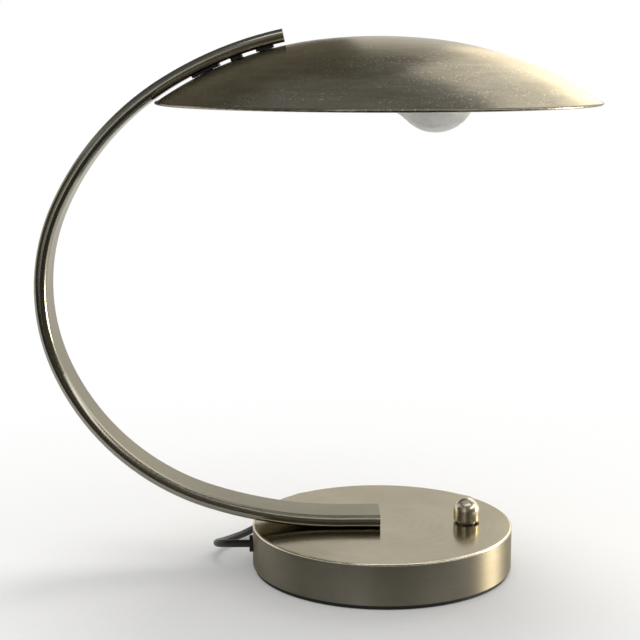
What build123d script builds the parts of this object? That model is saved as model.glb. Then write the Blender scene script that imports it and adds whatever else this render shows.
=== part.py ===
"""Arc table lamp: drum base, flat oval arm bent to an open C, and a dome shade that slides on the arm.

Millimetres. +Z is up, the origin is the centre of the resting face, +X points from the arm to the knob.
"""
import os
from math import asin, cos, degrees, dist, pi, radians, sin, sqrt, tan

from build123d import *

# General allowances
overrun = 1.0  # how far a cut reaches past the faces it opens
screw_play = 0.1  # radial room round a screw in a plain hole
running_play = 0.05  # radial room round the turning shaft

# Drum base
base_radius = 100.0
cover_height = 31.4
cover_wall = 2.0
cover_top = 2.5
cover_edge_radius = 1.2
pad_thickness = 3.1
pad_inset = 1.5
plate_thickness = 2.0
plate_play = 0.2
weight_thickness = 7.4
weight_play = 0.5
post_radius = 5.0
post_inset = 24.0
post_count = 3
post_first_angle = 30.0
plate_screw_radius = 2.5
plate_screw_head_radius = 4.5
plate_screw_head_height = 1.2
plate_screw_grip = 10.0

# Arm: flat oval tube, a straight foot and five bends that run into each other
arm_width = 39.0
arm_thickness = 9.6
arm_wall = 1.5
arm_foot_end_x = -2.0
arm_foot_length = 31.2
foot_bend_radius = 317.4
foot_bend_angle = 18.3
lower_bend_radius = 183.5
lower_bend_angle = 47.5
back_bend_radius = 150.7
back_bend_angle = 49.6
upper_bend_radius = 211.9
upper_bend_angle = 33.0
top_bend_radius = 274.7
top_bend_angle = 19.5
arm_plug_length = 6.0
anchor_length = 10.0
anchor_width = 28.0
anchor_height = 6.0
foot_screw_radius = 2.5
foot_screw_spacing = 18.0
foot_screw_head_radius = 4.25
foot_screw_head_height = 3.5
foot_washer_radius = 6.0
foot_washer_thickness = 1.2
foot_screw_top_gap = 1.0

# Slide between the arm and the shade, lengths measured along the arm from its top end
guide_height = 2.0
guide_clearance = 0.3
guide_seat_gap = 0.02
guide_width = 28.0
front_guide_setback = 8.8
front_guide_length = 13.0
front_guide_gap = 11.3
centre_guide_length = 8.5
rear_guide_gap = 9.5
rear_guide_length = 21.4
slide_back_angle = 1.5
slide_forward_angle = 5.0
slot_width = 10.4
slot_end_clearance = 0.4
stud_radius = 3.0
stud_tail = 1.0
bush_radius = 4.9
liner_thickness = 1.0
liner_clearance = 0.4
clamp_thickness = 2.4
clamp_width = 17.0
clamp_margin = 7.0
bracket_thickness = 2.0
bracket_width = 16.0
spring_washer_radius = 5.5
spring_washer_thickness = 1.2
clamp_nut_flats = 10.0
clamp_nut_height = 5.0
nut_bar_height = 5.0
nut_bar_width = 14.0
nut_bar_margin = 6.0

# Shade and the rail inside it
shade_rim_radius = 163.5
shade_back_reach = 151.6
shade_crown_angle = 6.0
shade_sheet = 0.8
rim_bead_radius = 1.1
rail_thickness = 1.8
rail_width = 34.0
rail_margin = 6.0

# Bulb and lampholder, lengths along the bulb from its contact
globe_radius = 30.0
globe_distance = 75.0
globe_start_angle = 55.0
bulb_tilt = 8.0
glass_wall = 1.0
cap_radius = 13.2
cap_wall = 1.3
cap_start = 3.0
cap_end = 24.0
neck_start_radius = 12.6
neck_end = 34.0
neck_end_radius = 14.5
bulb_contact_radius = 4.5
bulb_contact_height = 0.8
insulator_radius = 11.0
sleeve_clearance = 0.2
sleeve_wall = 0.8
sleeve_end = 19.0
holder_radius = 17.0
holder_wall = 2.0
holder_mouth = 22.0
holder_taper_start = -8.0
holder_back = -22.0
holder_back_radius = 10.0
core_top = -4.0
core_height = 6.0
tongue_radius = 3.0
nipple_radius = 5.0
nipple_wall = 1.25
nipple_grip = 9.0
nipple_tail = 2.0
nipple_nut_flats = 14.0
nipple_nut_height = 4.0
ear_width = 20.0
ear_drop = 11.0
ear_setback = 43.4
ear_height = 14.0

# Dimmer and its knob
knob_inset = 34.3
knob_radius = 10.0
knob_side_height = 7.0
knob_gap = 1.8
knob_recess_radius = 8.2
knob_recess_depth = 4.2
shaft_radius = 3.0
shaft_end_gap = 4.5
shaft_end_play = 1.0
dimmer_width = 28.0
dimmer_height = 13.0
bushing_radius = 5.0
bushing_rise = 4.2
dimmer_washer_radius = 7.2
dimmer_washer_thickness = 0.5
dimmer_nut_flats = 12.0
dimmer_nut_height = 2.0
grub_radius = 1.5
grub_height = 5.4
grub_depth = 1.0

# Mains lead: held inside the drum, then free
cord_radius = 3.0
cord_height = 17.0
grommet_flange_radius = 6.5
grommet_flange = 2.5
grommet_neck_radius = 5.0
grommet_inner_flange = 2.0
anchor_block_length = 12.0
anchor_block_width = 26.0
anchor_block_height = 9.0
anchor_block_inset = 16.0
anchor_screw_radius = 1.75
anchor_screw_head_radius = 3.2
anchor_screw_head_height = 2.0
anchor_screw_spacing = 18.0
anchor_screw_grip = 5.0
terminal_length = 24.0
terminal_width = 18.0
terminal_height = 12.0
terminal_gap = 12.0

# Free lead: hand-chosen points from the grommet to the hank
lead_points = [
    (-102.5, 0.0, 17.0),
    (-113.2, 0.0, 17.0),
    (-123.2, 5.4, 15.2),
    (-128.8, 15.4, 12.2),
    (-129.2, 27.0, 8.9),
    (-124.5, 39.0, 6.2),
    (-117.5, 51.0, 4.9),
    (-109.0, 63.0, 4.4),
    (-100.0, 75.0, 5.6),
    (-91.0, 86.8, 8.2),
    (-82.0, 98.0, 10.4),
    (-74.6, 109.4, 11.0),
    (-74.6, 122.0, 11.0),
]

# Hank: an upper layer of folded loops that spirals in, drops along a run and spirals out in a lower layer
hank_half_run = 46.0
hank_fold_radius = 18.0
hank_pitch = 7.2
hank_layer_step = 6.6
hank_layer_shift = 9.5
hank_waist_draw = 9.5
hank_drop_draw = 4.5
hank_drop_share = 0.33
hank_eighths_in = 14
hank_eighths_out = 21
hank_samples = 900

# Free tail: hand-chosen points from the hank to the plug
tail_points = [
    (48.0, 168.4, 4.4),
    (64.0, 168.4, 4.4),
    (75.0, 163.8, 4.4),
    (83.4, 155.4, 5.0),
    (88.0, 144.4, 6.0),
    (88.0, 136.0, 6.0),
]
corner_share = 0.45
straight_limit = 1e-9

# Tie and plug
tie_width = 8.0
tie_thickness = 1.2
tie_play = 0.2
plug_height = 12.0
plug_width = 26.0
plug_rear_width = 14.0
plug_length = 30.0
plug_edge_radius = 2.0
plug_sleeve_radius = 4.6
plug_sleeve_end_radius = 3.6
plug_sleeve_length = 20.0
pin_radius = 2.0
pin_length = 19.0
pin_spacing = 19.0

# Heights in the drum
cover_top_z = pad_thickness + cover_height
cover_ceiling_z = cover_top_z - cover_top
cover_inner_radius = base_radius - cover_wall
plate_top_z = pad_thickness + plate_thickness
weight_top_z = plate_top_z + weight_thickness
weight_radius = cover_inner_radius - grommet_inner_flange - weight_play
plate_radius = cover_inner_radius - plate_play
post_circle_radius = base_radius - post_inset
anchor_block_x = anchor_block_inset - base_radius
terminal_face_x = anchor_block_x + anchor_block_length / 2 + terminal_gap
terminal_x = terminal_face_x + terminal_length / 2
knob_x = base_radius - knob_inset

# Centre line of the arm in the XZ plane
arm_axis_z = cover_top_z + arm_thickness / 2
arm_floor_z = cover_top_z + arm_wall
with BuildLine(Plane.XZ) as arm_line:
    foot_run = Line((arm_foot_end_x, arm_axis_z), (arm_foot_end_x - arm_foot_length, arm_axis_z))
    foot_bend = JernArc(foot_run @ 1, foot_run % 1, foot_bend_radius, -foot_bend_angle)
    lower_bend = JernArc(foot_bend @ 1, foot_bend % 1, lower_bend_radius, -lower_bend_angle)
    back_bend = JernArc(lower_bend @ 1, lower_bend % 1, back_bend_radius, -back_bend_angle)
    upper_bend = JernArc(back_bend @ 1, back_bend % 1, upper_bend_radius, -upper_bend_angle)
    top_bend = JernArc(upper_bend @ 1, upper_bend % 1, top_bend_radius, -top_bend_angle)

# Centre of the slide: the top bend, the back of the shade and the rail are arcs about it
bend_angles = [foot_bend_angle, lower_bend_angle, back_bend_angle, upper_bend_angle, top_bend_angle]
arm_end_angle = 180 - sum(bend_angles)
slide_x = (top_bend @ 1).X + top_bend_radius * sin(radians(arm_end_angle))
slide_z = (top_bend @ 1).Z - top_bend_radius * cos(radians(arm_end_angle))

# Radii about the centre of the slide, from the arm down to the nuts
arm_underside = top_bend_radius - arm_thickness / 2
arm_inner_floor = arm_underside + arm_wall
nut_bar_top = arm_inner_floor + nut_bar_height
guide_underside = arm_underside - guide_height
shade_outer = guide_underside - guide_clearance
shade_inner = shade_outer - shade_sheet
rail_underside = shade_inner - rail_thickness
liner_top = rail_underside - liner_clearance
clamp_top = liner_top - liner_thickness
bracket_top = clamp_top - clamp_thickness
bracket_underside = bracket_top - bracket_thickness
washer_top = sqrt(bracket_underside**2 - spring_washer_radius**2)
nut_top = washer_top - spring_washer_thickness
nut_underside = nut_top - clamp_nut_height
stud_end = nut_underside - stud_tail
bush_top = sqrt(guide_underside**2 - bush_radius**2)


def turn(length):
    """Angle in degrees that a length takes along the underside of the arm."""
    return degrees(length / arm_underside)


# Angles left of the vertical through the centre of the slide
front_guide_first = arm_end_angle + turn(front_guide_setback)
front_guide_last = front_guide_first + turn(front_guide_length)
centre_guide_first = front_guide_last + turn(front_guide_gap)
centre_guide_last = centre_guide_first + turn(centre_guide_length)
rear_guide_first = centre_guide_last + turn(rear_guide_gap)
rear_guide_last = rear_guide_first + turn(rear_guide_length)
front_stud = (front_guide_first + front_guide_last) / 2
centre_stud = (centre_guide_first + centre_guide_last) / 2
rear_stud = (rear_guide_first + rear_guide_last) / 2
stud_angles = [front_stud, centre_stud, rear_stud]
slot_margin = turn(bush_radius + slot_end_clearance)
slot_first = front_stud - slide_back_angle - slot_margin
slot_last = rear_stud + slide_forward_angle + slot_margin
rail_first = slot_first - turn(rail_margin)
rail_last = slot_last + turn(rail_margin)
clamp_first = front_stud - turn(clamp_margin)
clamp_last = rear_stud + turn(clamp_margin)
nut_bar_first = front_stud - turn(nut_bar_margin)
nut_bar_last = rear_stud + turn(nut_bar_margin)

# Dome of the shade: a crown arc on the axis that runs into an arc about the centre of the slide
back_offset = shade_rim_radius - shade_back_reach
shade_axis_x = slide_x + back_offset
crown_step = back_offset / sin(radians(shade_crown_angle))
shade_crown_radius = shade_outer + crown_step
crown_centre_z = slide_z - crown_step * cos(radians(shade_crown_angle))
rim_angle = degrees(asin(shade_back_reach / shade_outer))
rim_z = slide_z + shade_outer * cos(radians(rim_angle))
crown_z = crown_centre_z + shade_crown_radius
shade_axis = Axis((shade_axis_x, 0, 0), (0, 0, 1))

# Bulb frame: along the bulb from its contact, and across it
bulb_way = Vector(cos(radians(bulb_tilt)), 0, -sin(radians(bulb_tilt)))
ear_back = holder_back - bracket_thickness
bracket_rise = sqrt(bracket_underside**2 - ear_setback**2)
ear_point = Vector(slide_x - ear_setback, 0, slide_z + bracket_rise - ear_height)
bulb_contact_point = ear_point - bulb_way * ear_back
bulb_axis = Axis(bulb_contact_point, bulb_way)
bulb_side = Plane(origin=bulb_contact_point, x_dir=bulb_way, z_dir=(0, -1, 0))
nipple_nut_back = ear_back - nipple_nut_height
nipple_back = nipple_nut_back - nipple_tail
nipple_front = holder_back + nipple_grip
ear_top = ear_height / cos(radians(bulb_tilt))
ear_top_x = ear_point.X + ear_top * sin(radians(bulb_tilt)) + bracket_thickness
bracket_first = degrees(asin((slide_x - ear_top_x) / bracket_underside))

# Knob heights
knob_bottom_z = cover_top_z + knob_gap
knob_dome_z = knob_bottom_z + knob_side_height
shaft_top_z = knob_dome_z + shaft_end_gap
dimmer_bottom_z = cover_ceiling_z - dimmer_height
bushing_top_z = cover_top_z + bushing_rise

os.makedirs("parts", exist_ok=True)


def keep(piece, name):
    """Label a finished piece and write it to its own file."""
    piece.part.label = name
    export_step(piece.part, f"parts/{name}.step")


def level(height):
    """Horizontal plane at a height."""
    return Plane.XY.offset(height)


def across_bulb(distance):
    """Plane square to the bulb, at a distance from its contact."""
    return Plane(origin=bulb_contact_point + bulb_way * distance, x_dir=(0, 1, 0), z_dir=bulb_way)


def on_slide(radius, angle, side=0):
    """Plane square to a radius of the slide, its normal pointing away from the centre."""
    outward = Vector(-sin(radians(angle)), 0, cos(radians(angle)))
    place = Vector(slide_x, side, slide_z) + outward * radius
    return Plane(origin=place, x_dir=(0, 1, 0), z_dir=outward)


def slide_strip(inner, outer, first, last):
    """Side outline of a strip bent about the centre of the slide."""
    with BuildSketch(Plane.XZ) as outline:
        with BuildLine():
            under = CenterArc((slide_x, slide_z), inner, 90 + first, last - first)
            over = CenterArc((slide_x, slide_z), outer, 90 + first, last - first)
            Line(under @ 0, over @ 0)
            Line(under @ 1, over @ 1)
        make_face()
    return outline.sketch


def dome_outline(depth):
    """Half section under the dome's outer face, set in by a depth."""
    with BuildSketch(Plane.XZ) as outline:
        with BuildLine():
            crown = CenterArc(
                (shade_axis_x, crown_centre_z),
                shade_crown_radius - depth,
                90 - shade_crown_angle,
                shade_crown_angle,
            )
            flank = CenterArc(
                (shade_axis_x + back_offset, slide_z),
                shade_outer - depth,
                90 - rim_angle,
                rim_angle - shade_crown_angle,
            )
            corner = (shade_axis_x, (flank @ 0).Y)
            Line(flank @ 0, corner)
            Line(corner, crown @ 1)
        make_face()
    return outline.sketch


def bead_outline():
    """Section of the rolled rim."""
    middle_radius = shade_outer - shade_sheet / 2
    bead_x = shade_axis_x + back_offset + middle_radius * sin(radians(rim_angle))
    bead_z = slide_z + middle_radius * cos(radians(rim_angle))
    with BuildSketch(Plane.XZ) as outline:
        with Locations((bead_x, bead_z)):
            Circle(rim_bead_radius)
    return outline.sketch


def glass_outline(depth):
    """Half section of the pear-shaped glass, set in by a depth."""
    radius = globe_radius - depth
    with BuildSketch(bulb_side) as outline:
        with BuildLine():
            neck = Line((cap_end, neck_start_radius - depth), (neck_end, neck_end_radius - depth))
            globe = CenterArc((globe_distance, 0), radius, 0, 180 - globe_start_angle)
            TangentArc(globe @ 1, neck @ 1, tangent=(globe % 1))
            Polyline(globe @ 0, (cap_end, 0), neck @ 0)
        make_face()
    return outline.sketch


def bent_path(points):
    """Straight runs joined by arcs as large as the shorter run beside each corner allows."""
    corners = [Vector(*point) for point in points]
    radii = []
    for before, corner, after in zip(corners, corners[1:], corners[2:]):
        arriving = corner - before
        leaving = after - corner
        half_turn = radians(arriving.get_angle(leaving)) / 2
        radii.append(corner_share * min(arriving.length, leaving.length) / tan(half_turn))
    with BuildLine() as path:
        FilletPolyline(*corners, radius=radii)
    print("cord radii", [round(radius, 1) for radius in radii])
    return path.wires()[0]


def biarc(start, start_way, finish, finish_way):
    """Two arcs that join two points along their given directions."""
    chord = finish - start
    both = start_way + finish_way
    square = both.dot(both) - 4
    slope = -2 * chord.dot(both)
    constant = chord.dot(chord)
    if abs(square) < straight_limit:
        reach = -constant / slope
    else:
        reach = (-slope - sqrt(slope**2 - 4 * square * constant)) / (2 * square)
    middle = (start + start_way * reach + finish - finish_way * reach) / 2
    TangentArc(start, middle, tangent=start_way)
    TangentArc(finish, middle, tangent=finish_way * -1)


def tube(path, radius):
    """Round cord along a path."""
    with BuildPart() as cord:
        with BuildSketch(Plane(origin=path @ 0, z_dir=path % 0)):
            Circle(radius)
        sweep(path=path)
    expected = pi * radius**2 * path.length
    print("cord length", round(path.length, 1), "volume ratio", round(cord.part.volume / expected, 4))
    return cord


# Drum cover with its holes
anchor_middle_x = arm_foot_end_x - arm_plug_length - anchor_length / 2
foot_screw_places = [(anchor_middle_x, side * foot_screw_spacing / 2) for side in (-1, 1)]
with BuildPart() as base_cover:
    with BuildSketch(level(pad_thickness)):
        Circle(base_radius)
    extrude(amount=cover_height)
    fillet(base_cover.edges().group_by(Axis.Z)[-1], radius=cover_edge_radius)
    with BuildSketch(level(pad_thickness)):
        Circle(cover_inner_radius)
    extrude(amount=cover_height - cover_top, mode=Mode.SUBTRACT)
    with BuildSketch(level(cover_ceiling_z)):
        with Locations(*foot_screw_places):
            Circle(foot_screw_radius + screw_play)
        with Locations((knob_x, 0)):
            Circle(bushing_radius + screw_play)
    extrude(amount=cover_top, mode=Mode.SUBTRACT)
    with BuildSketch(Plane.YZ.offset(-base_radius)):
        with Locations((0, cord_height)):
            Circle(grommet_neck_radius)
    extrude(amount=cover_wall + overrun, both=True, mode=Mode.SUBTRACT)
keep(base_cover, "base_cover")

with BuildPart() as foot_pad:
    with BuildSketch():
        Circle(base_radius - pad_inset)
    extrude(amount=pad_thickness)
keep(foot_pad, "foot_pad")

with BuildPart() as base_plate:
    with BuildSketch(level(pad_thickness)):
        Circle(plate_radius)
        with PolarLocations(post_circle_radius, post_count, post_first_angle):
            Circle(plate_screw_radius + screw_play, mode=Mode.SUBTRACT)
    extrude(amount=plate_thickness)
    with BuildSketch(level(pad_thickness)):
        with PolarLocations(post_circle_radius, post_count, post_first_angle):
            Circle(plate_screw_head_radius + screw_play)
    extrude(amount=plate_screw_head_height, mode=Mode.SUBTRACT)
keep(base_plate, "base_plate")

anchor_screw_places = [(anchor_block_x, side * anchor_screw_spacing / 2) for side in (-1, 1)]
with BuildPart() as base_weight:
    with BuildSketch(level(plate_top_z)):
        Circle(weight_radius)
        with PolarLocations(post_circle_radius, post_count, post_first_angle):
            Circle(plate_screw_radius + screw_play, mode=Mode.SUBTRACT)
    extrude(amount=weight_thickness)
    with BuildSketch(level(weight_top_z)):
        with Locations(*anchor_screw_places):
            Circle(anchor_screw_radius)
    extrude(amount=-anchor_screw_grip, mode=Mode.SUBTRACT)
keep(base_weight, "base_weight")

with BuildPart() as base_posts:
    with BuildSketch(level(weight_top_z)):
        with PolarLocations(post_circle_radius, post_count, post_first_angle):
            Circle(post_radius)
    extrude(amount=cover_ceiling_z - weight_top_z)
    with BuildSketch(level(weight_top_z)):
        with PolarLocations(post_circle_radius, post_count, post_first_angle):
            Circle(plate_screw_radius)
    extrude(amount=plate_screw_grip, mode=Mode.SUBTRACT)
keep(base_posts, "base_posts")

plate_screw_length = plate_thickness - plate_screw_head_height + weight_thickness + plate_screw_grip
with BuildPart() as base_plate_screws:
    with BuildSketch(level(pad_thickness)):
        with PolarLocations(post_circle_radius, post_count, post_first_angle):
            Circle(plate_screw_head_radius)
    extrude(amount=plate_screw_head_height)
    with BuildSketch(level(pad_thickness + plate_screw_head_height)):
        with PolarLocations(post_circle_radius, post_count, post_first_angle):
            Circle(plate_screw_radius)
    extrude(amount=plate_screw_length)
keep(base_plate_screws, "base_plate_screws")

# Arm tube, its end plugs and the pieces that hold its foot
arm_start = Plane(origin=arm_line.line @ 0, x_dir=(0, 1, 0), z_dir=arm_line.line % 0)
with BuildPart() as arm_tube:
    with BuildSketch(arm_start):
        SlotOverall(arm_width, arm_thickness)
        SlotOverall(arm_width - 2 * arm_wall, arm_thickness - 2 * arm_wall, mode=Mode.SUBTRACT)
    sweep(path=arm_line.line)
    with BuildSketch(level(cover_top_z)):
        with Locations(*foot_screw_places):
            Circle(foot_screw_radius + screw_play)
    extrude(amount=arm_wall, mode=Mode.SUBTRACT)
    for stud_angle in stud_angles:
        with BuildSketch(on_slide(arm_underside, stud_angle)):
            Circle(stud_radius + screw_play)
        extrude(amount=arm_thickness / 2, both=True, mode=Mode.SUBTRACT)
keep(arm_tube, "arm_tube")

with BuildPart() as arm_foot_plug:
    with BuildSketch(arm_start):
        SlotOverall(arm_width - 2 * arm_wall, arm_thickness - 2 * arm_wall)
    extrude(amount=arm_plug_length)
keep(arm_foot_plug, "arm_foot_plug")

plug_turn = degrees(arm_plug_length / top_bend_radius)
with BuildPart() as arm_top_plug:
    with BuildSketch(Plane(origin=top_bend @ 1, x_dir=(0, 1, 0), z_dir=top_bend % 1)):
        SlotOverall(arm_width - 2 * arm_wall, arm_thickness - 2 * arm_wall)
    revolve(axis=Axis((slide_x, 0, slide_z), (0, -1, 0)), revolution_arc=plug_turn)
keep(arm_top_plug, "arm_top_plug")

with BuildPart() as arm_anchor_bar:
    with BuildSketch(level(arm_floor_z)):
        with Locations((anchor_middle_x, 0)):
            Rectangle(anchor_length, anchor_width)
        with Locations(*foot_screw_places):
            Circle(foot_screw_radius, mode=Mode.SUBTRACT)
    extrude(amount=anchor_height)
keep(arm_anchor_bar, "arm_anchor_bar")

foot_washer_z = cover_ceiling_z - foot_washer_thickness
with BuildPart() as arm_foot_washers:
    with BuildSketch(level(foot_washer_z)):
        with Locations(*foot_screw_places):
            Circle(foot_washer_radius)
            Circle(foot_screw_radius + screw_play, mode=Mode.SUBTRACT)
    extrude(amount=foot_washer_thickness)
keep(arm_foot_washers, "arm_foot_washers")

foot_screw_length = arm_floor_z + anchor_height - foot_screw_top_gap - foot_washer_z
with BuildPart() as arm_foot_screws:
    with BuildSketch(level(foot_washer_z)):
        with Locations(*foot_screw_places):
            Circle(foot_screw_head_radius)
    extrude(amount=-foot_screw_head_height)
    with BuildSketch(level(foot_washer_z)):
        with Locations(*foot_screw_places):
            Circle(foot_screw_radius)
    extrude(amount=foot_screw_length)
keep(arm_foot_screws, "arm_foot_screws")

# Guide blocks under the arm, clamped by studs from a bar inside it
with BuildPart() as arm_nut_bar:
    extrude(
        slide_strip(arm_inner_floor, nut_bar_top, nut_bar_first, nut_bar_last),
        amount=nut_bar_width / 2,
        both=True,
    )
    for stud_angle in stud_angles:
        with BuildSketch(on_slide(nut_bar_top + overrun, stud_angle)):
            Circle(stud_radius)
        extrude(amount=-nut_bar_height - 2 * overrun, mode=Mode.SUBTRACT)
keep(arm_nut_bar, "arm_nut_bar")

guides = {
    "front_guide_block": (front_guide_first, front_guide_last, front_stud),
    "centre_guide_block": (centre_guide_first, centre_guide_last, centre_stud),
    "rear_guide_block": (rear_guide_first, rear_guide_last, rear_stud),
}
for guide_name, (guide_first, guide_last, guide_stud) in guides.items():
    with BuildPart() as guide_block:
        extrude(
            slide_strip(guide_underside, arm_underside - guide_seat_gap, guide_first, guide_last),
            amount=guide_width / 2,
            both=True,
        )
        with BuildSketch(on_slide(arm_underside + overrun, guide_stud)):
            Circle(stud_radius + screw_play)
        extrude(amount=-guide_height - 2 * overrun, mode=Mode.SUBTRACT)
    keep(guide_block, guide_name)

with BuildPart() as clamp_studs:
    for stud_angle in stud_angles:
        with BuildSketch(on_slide(stud_end, stud_angle)):
            Circle(stud_radius)
        extrude(amount=nut_bar_top - overrun - stud_end)
keep(clamp_studs, "clamp_studs")

with BuildPart() as slot_bushes:
    for stud_angle in stud_angles:
        with BuildSketch(on_slide(clamp_top, stud_angle)):
            Circle(bush_radius)
            Circle(stud_radius + screw_play, mode=Mode.SUBTRACT)
        extrude(amount=bush_top - clamp_top)
keep(slot_bushes, "slot_bushes")

with BuildPart() as friction_liner:
    extrude(slide_strip(clamp_top, liner_top, clamp_first, clamp_last), amount=clamp_width / 2, both=True)
    for stud_angle in stud_angles:
        with BuildSketch(on_slide(liner_top + overrun, stud_angle)):
            Circle(bush_radius + screw_play)
        extrude(amount=-liner_thickness - 2 * overrun, mode=Mode.SUBTRACT)
keep(friction_liner, "friction_liner")

with BuildPart() as clamp_plate:
    extrude(slide_strip(bracket_top, clamp_top, clamp_first, clamp_last), amount=clamp_width / 2, both=True)
    for stud_angle in stud_angles:
        with BuildSketch(on_slide(clamp_top + overrun, stud_angle)):
            Circle(stud_radius + screw_play)
        extrude(amount=-clamp_thickness - 2 * overrun, mode=Mode.SUBTRACT)
keep(clamp_plate, "clamp_plate")

with BuildPart() as lampholder_bracket:
    extrude(
        slide_strip(bracket_underside, bracket_top, bracket_first, clamp_last),
        amount=bracket_width / 2,
        both=True,
    )
    for stud_angle in stud_angles:
        with BuildSketch(on_slide(bracket_top + overrun, stud_angle)):
            Circle(stud_radius + screw_play)
        extrude(amount=-bracket_thickness - 2 * overrun, mode=Mode.SUBTRACT)
    with BuildSketch(across_bulb(ear_back)):
        with Locations((0, (ear_top - ear_drop) / 2)):
            RectangleRounded(ear_width, ear_top + ear_drop + bracket_thickness, bracket_thickness)
        Circle(nipple_radius + screw_play, mode=Mode.SUBTRACT)
    extrude(amount=bracket_thickness)
keep(lampholder_bracket, "lampholder_bracket")

with BuildPart() as spring_washers:
    for stud_angle in stud_angles:
        with BuildSketch(on_slide(nut_top, stud_angle)):
            Circle(spring_washer_radius)
            Circle(stud_radius + screw_play, mode=Mode.SUBTRACT)
        extrude(amount=spring_washer_thickness)
keep(spring_washers, "spring_washers")

with BuildPart() as clamp_nuts:
    for stud_angle in stud_angles:
        with BuildSketch(on_slide(nut_underside, stud_angle)):
            RegularPolygon(clamp_nut_flats / 2, 6, major_radius=False)
            Circle(stud_radius, mode=Mode.SUBTRACT)
        extrude(amount=clamp_nut_height)
keep(clamp_nuts, "clamp_nuts")

# Shade, and the rail soldered inside it along the slot
with BuildPart() as shade_shell:
    revolve(dome_outline(0), axis=shade_axis)
    revolve(dome_outline(shade_sheet), axis=shade_axis, mode=Mode.SUBTRACT)
    revolve(bead_outline(), axis=shade_axis)
    extrude(
        slide_strip(rail_underside, guide_underside, slot_first, slot_last),
        amount=slot_width / 2,
        both=True,
        mode=Mode.SUBTRACT,
    )
keep(shade_shell, "shade_shell")

with BuildPart() as shade_rail:
    extrude(slide_strip(rail_underside, shade_outer, rail_first, rail_last), amount=rail_width / 2, both=True)
    revolve(dome_outline(shade_sheet), axis=shade_axis, mode=Mode.INTERSECT)
    extrude(
        slide_strip(liner_top, guide_underside, slot_first, slot_last),
        amount=slot_width / 2,
        both=True,
        mode=Mode.SUBTRACT,
    )
keep(shade_rail, "shade_rail")

# Bulb
with BuildPart() as bulb_glass:
    revolve(glass_outline(0), axis=bulb_axis)
    revolve(glass_outline(glass_wall), axis=bulb_axis, mode=Mode.SUBTRACT)
keep(bulb_glass, "bulb_glass")

with BuildPart() as bulb_cap:
    with BuildSketch(across_bulb(cap_start)):
        Circle(cap_radius)
        Circle(cap_radius - cap_wall, mode=Mode.SUBTRACT)
    extrude(amount=cap_end - cap_start)
keep(bulb_cap, "bulb_cap")

with BuildPart() as bulb_insulator:
    with BuildSketch(across_bulb(bulb_contact_height)):
        Circle(bulb_contact_radius)
    with BuildSketch(across_bulb(cap_start)):
        Circle(insulator_radius)
    loft()
    with BuildSketch(across_bulb(cap_start)):
        Circle(cap_radius - cap_wall)
    extrude(amount=cap_wall)
keep(bulb_insulator, "bulb_insulator")

with BuildPart() as bulb_contact:
    with BuildSketch(across_bulb(0)):
        Circle(bulb_contact_radius)
    extrude(amount=bulb_contact_height)
keep(bulb_contact, "bulb_contact")

# Lampholder
sleeve_inner = cap_radius + sleeve_clearance
holder_bore = holder_radius - holder_wall
core_back = core_top - core_height
with BuildPart() as lampholder_shell:
    with BuildSketch(bulb_side):
        with BuildLine():
            Polyline(
                (holder_back, 0),
                (holder_back, holder_back_radius),
                (holder_taper_start, holder_radius),
                (holder_mouth, holder_radius),
                (holder_mouth, holder_bore),
                (core_back, holder_bore),
                (core_back, 0),
                close=True,
            )
        make_face()
    revolve(axis=bulb_axis)
    with BuildSketch(across_bulb(holder_back)):
        Circle(nipple_radius)
    extrude(amount=nipple_grip, mode=Mode.SUBTRACT)
    with BuildSketch(across_bulb(holder_back)):
        Circle(nipple_radius - nipple_wall)
    extrude(amount=core_back - holder_back + overrun, mode=Mode.SUBTRACT)
keep(lampholder_shell, "lampholder_shell")

with BuildPart() as lampholder_core:
    with BuildSketch(across_bulb(core_back)):
        Circle(holder_bore)
        Circle(tongue_radius, mode=Mode.SUBTRACT)
    extrude(amount=core_height)
keep(lampholder_core, "lampholder_core")

with BuildPart() as lampholder_contact:
    with BuildSketch(across_bulb(core_back)):
        Circle(tongue_radius)
    extrude(amount=-core_back)
keep(lampholder_contact, "lampholder_contact")

with BuildPart() as lampholder_sleeve:
    with BuildSketch(across_bulb(core_top)):
        Circle(sleeve_inner + sleeve_wall)
        Circle(sleeve_inner, mode=Mode.SUBTRACT)
    extrude(amount=sleeve_end - core_top)
keep(lampholder_sleeve, "lampholder_sleeve")

with BuildPart() as lampholder_nipple:
    with BuildSketch(across_bulb(nipple_back)):
        Circle(nipple_radius)
        Circle(nipple_radius - nipple_wall, mode=Mode.SUBTRACT)
    extrude(amount=nipple_front - nipple_back)
keep(lampholder_nipple, "lampholder_nipple")

with BuildPart() as lampholder_nut:
    with BuildSketch(across_bulb(nipple_nut_back)):
        RegularPolygon(nipple_nut_flats / 2, 6, major_radius=False)
        Circle(nipple_radius, mode=Mode.SUBTRACT)
    extrude(amount=nipple_nut_height)
keep(lampholder_nut, "lampholder_nut")

# Dimmer in the drum and the knob on its shaft
with BuildPart() as dimmer_housing:
    with BuildSketch(level(dimmer_bottom_z)):
        with Locations((knob_x, 0)):
            RectangleRounded(dimmer_width, dimmer_width, cover_edge_radius)
            Circle(shaft_radius + running_play, mode=Mode.SUBTRACT)
    extrude(amount=dimmer_height)
keep(dimmer_housing, "dimmer_housing")

with BuildPart() as dimmer_bushing:
    with BuildSketch(level(cover_ceiling_z)):
        with Locations((knob_x, 0)):
            Circle(bushing_radius)
            Circle(shaft_radius + running_play, mode=Mode.SUBTRACT)
    extrude(amount=bushing_top_z - cover_ceiling_z)
keep(dimmer_bushing, "dimmer_bushing")

with BuildPart() as dimmer_washer:
    with BuildSketch(level(cover_top_z)):
        with Locations((knob_x, 0)):
            Circle(dimmer_washer_radius)
            Circle(bushing_radius + screw_play, mode=Mode.SUBTRACT)
    extrude(amount=dimmer_washer_thickness)
keep(dimmer_washer, "dimmer_washer")

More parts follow.
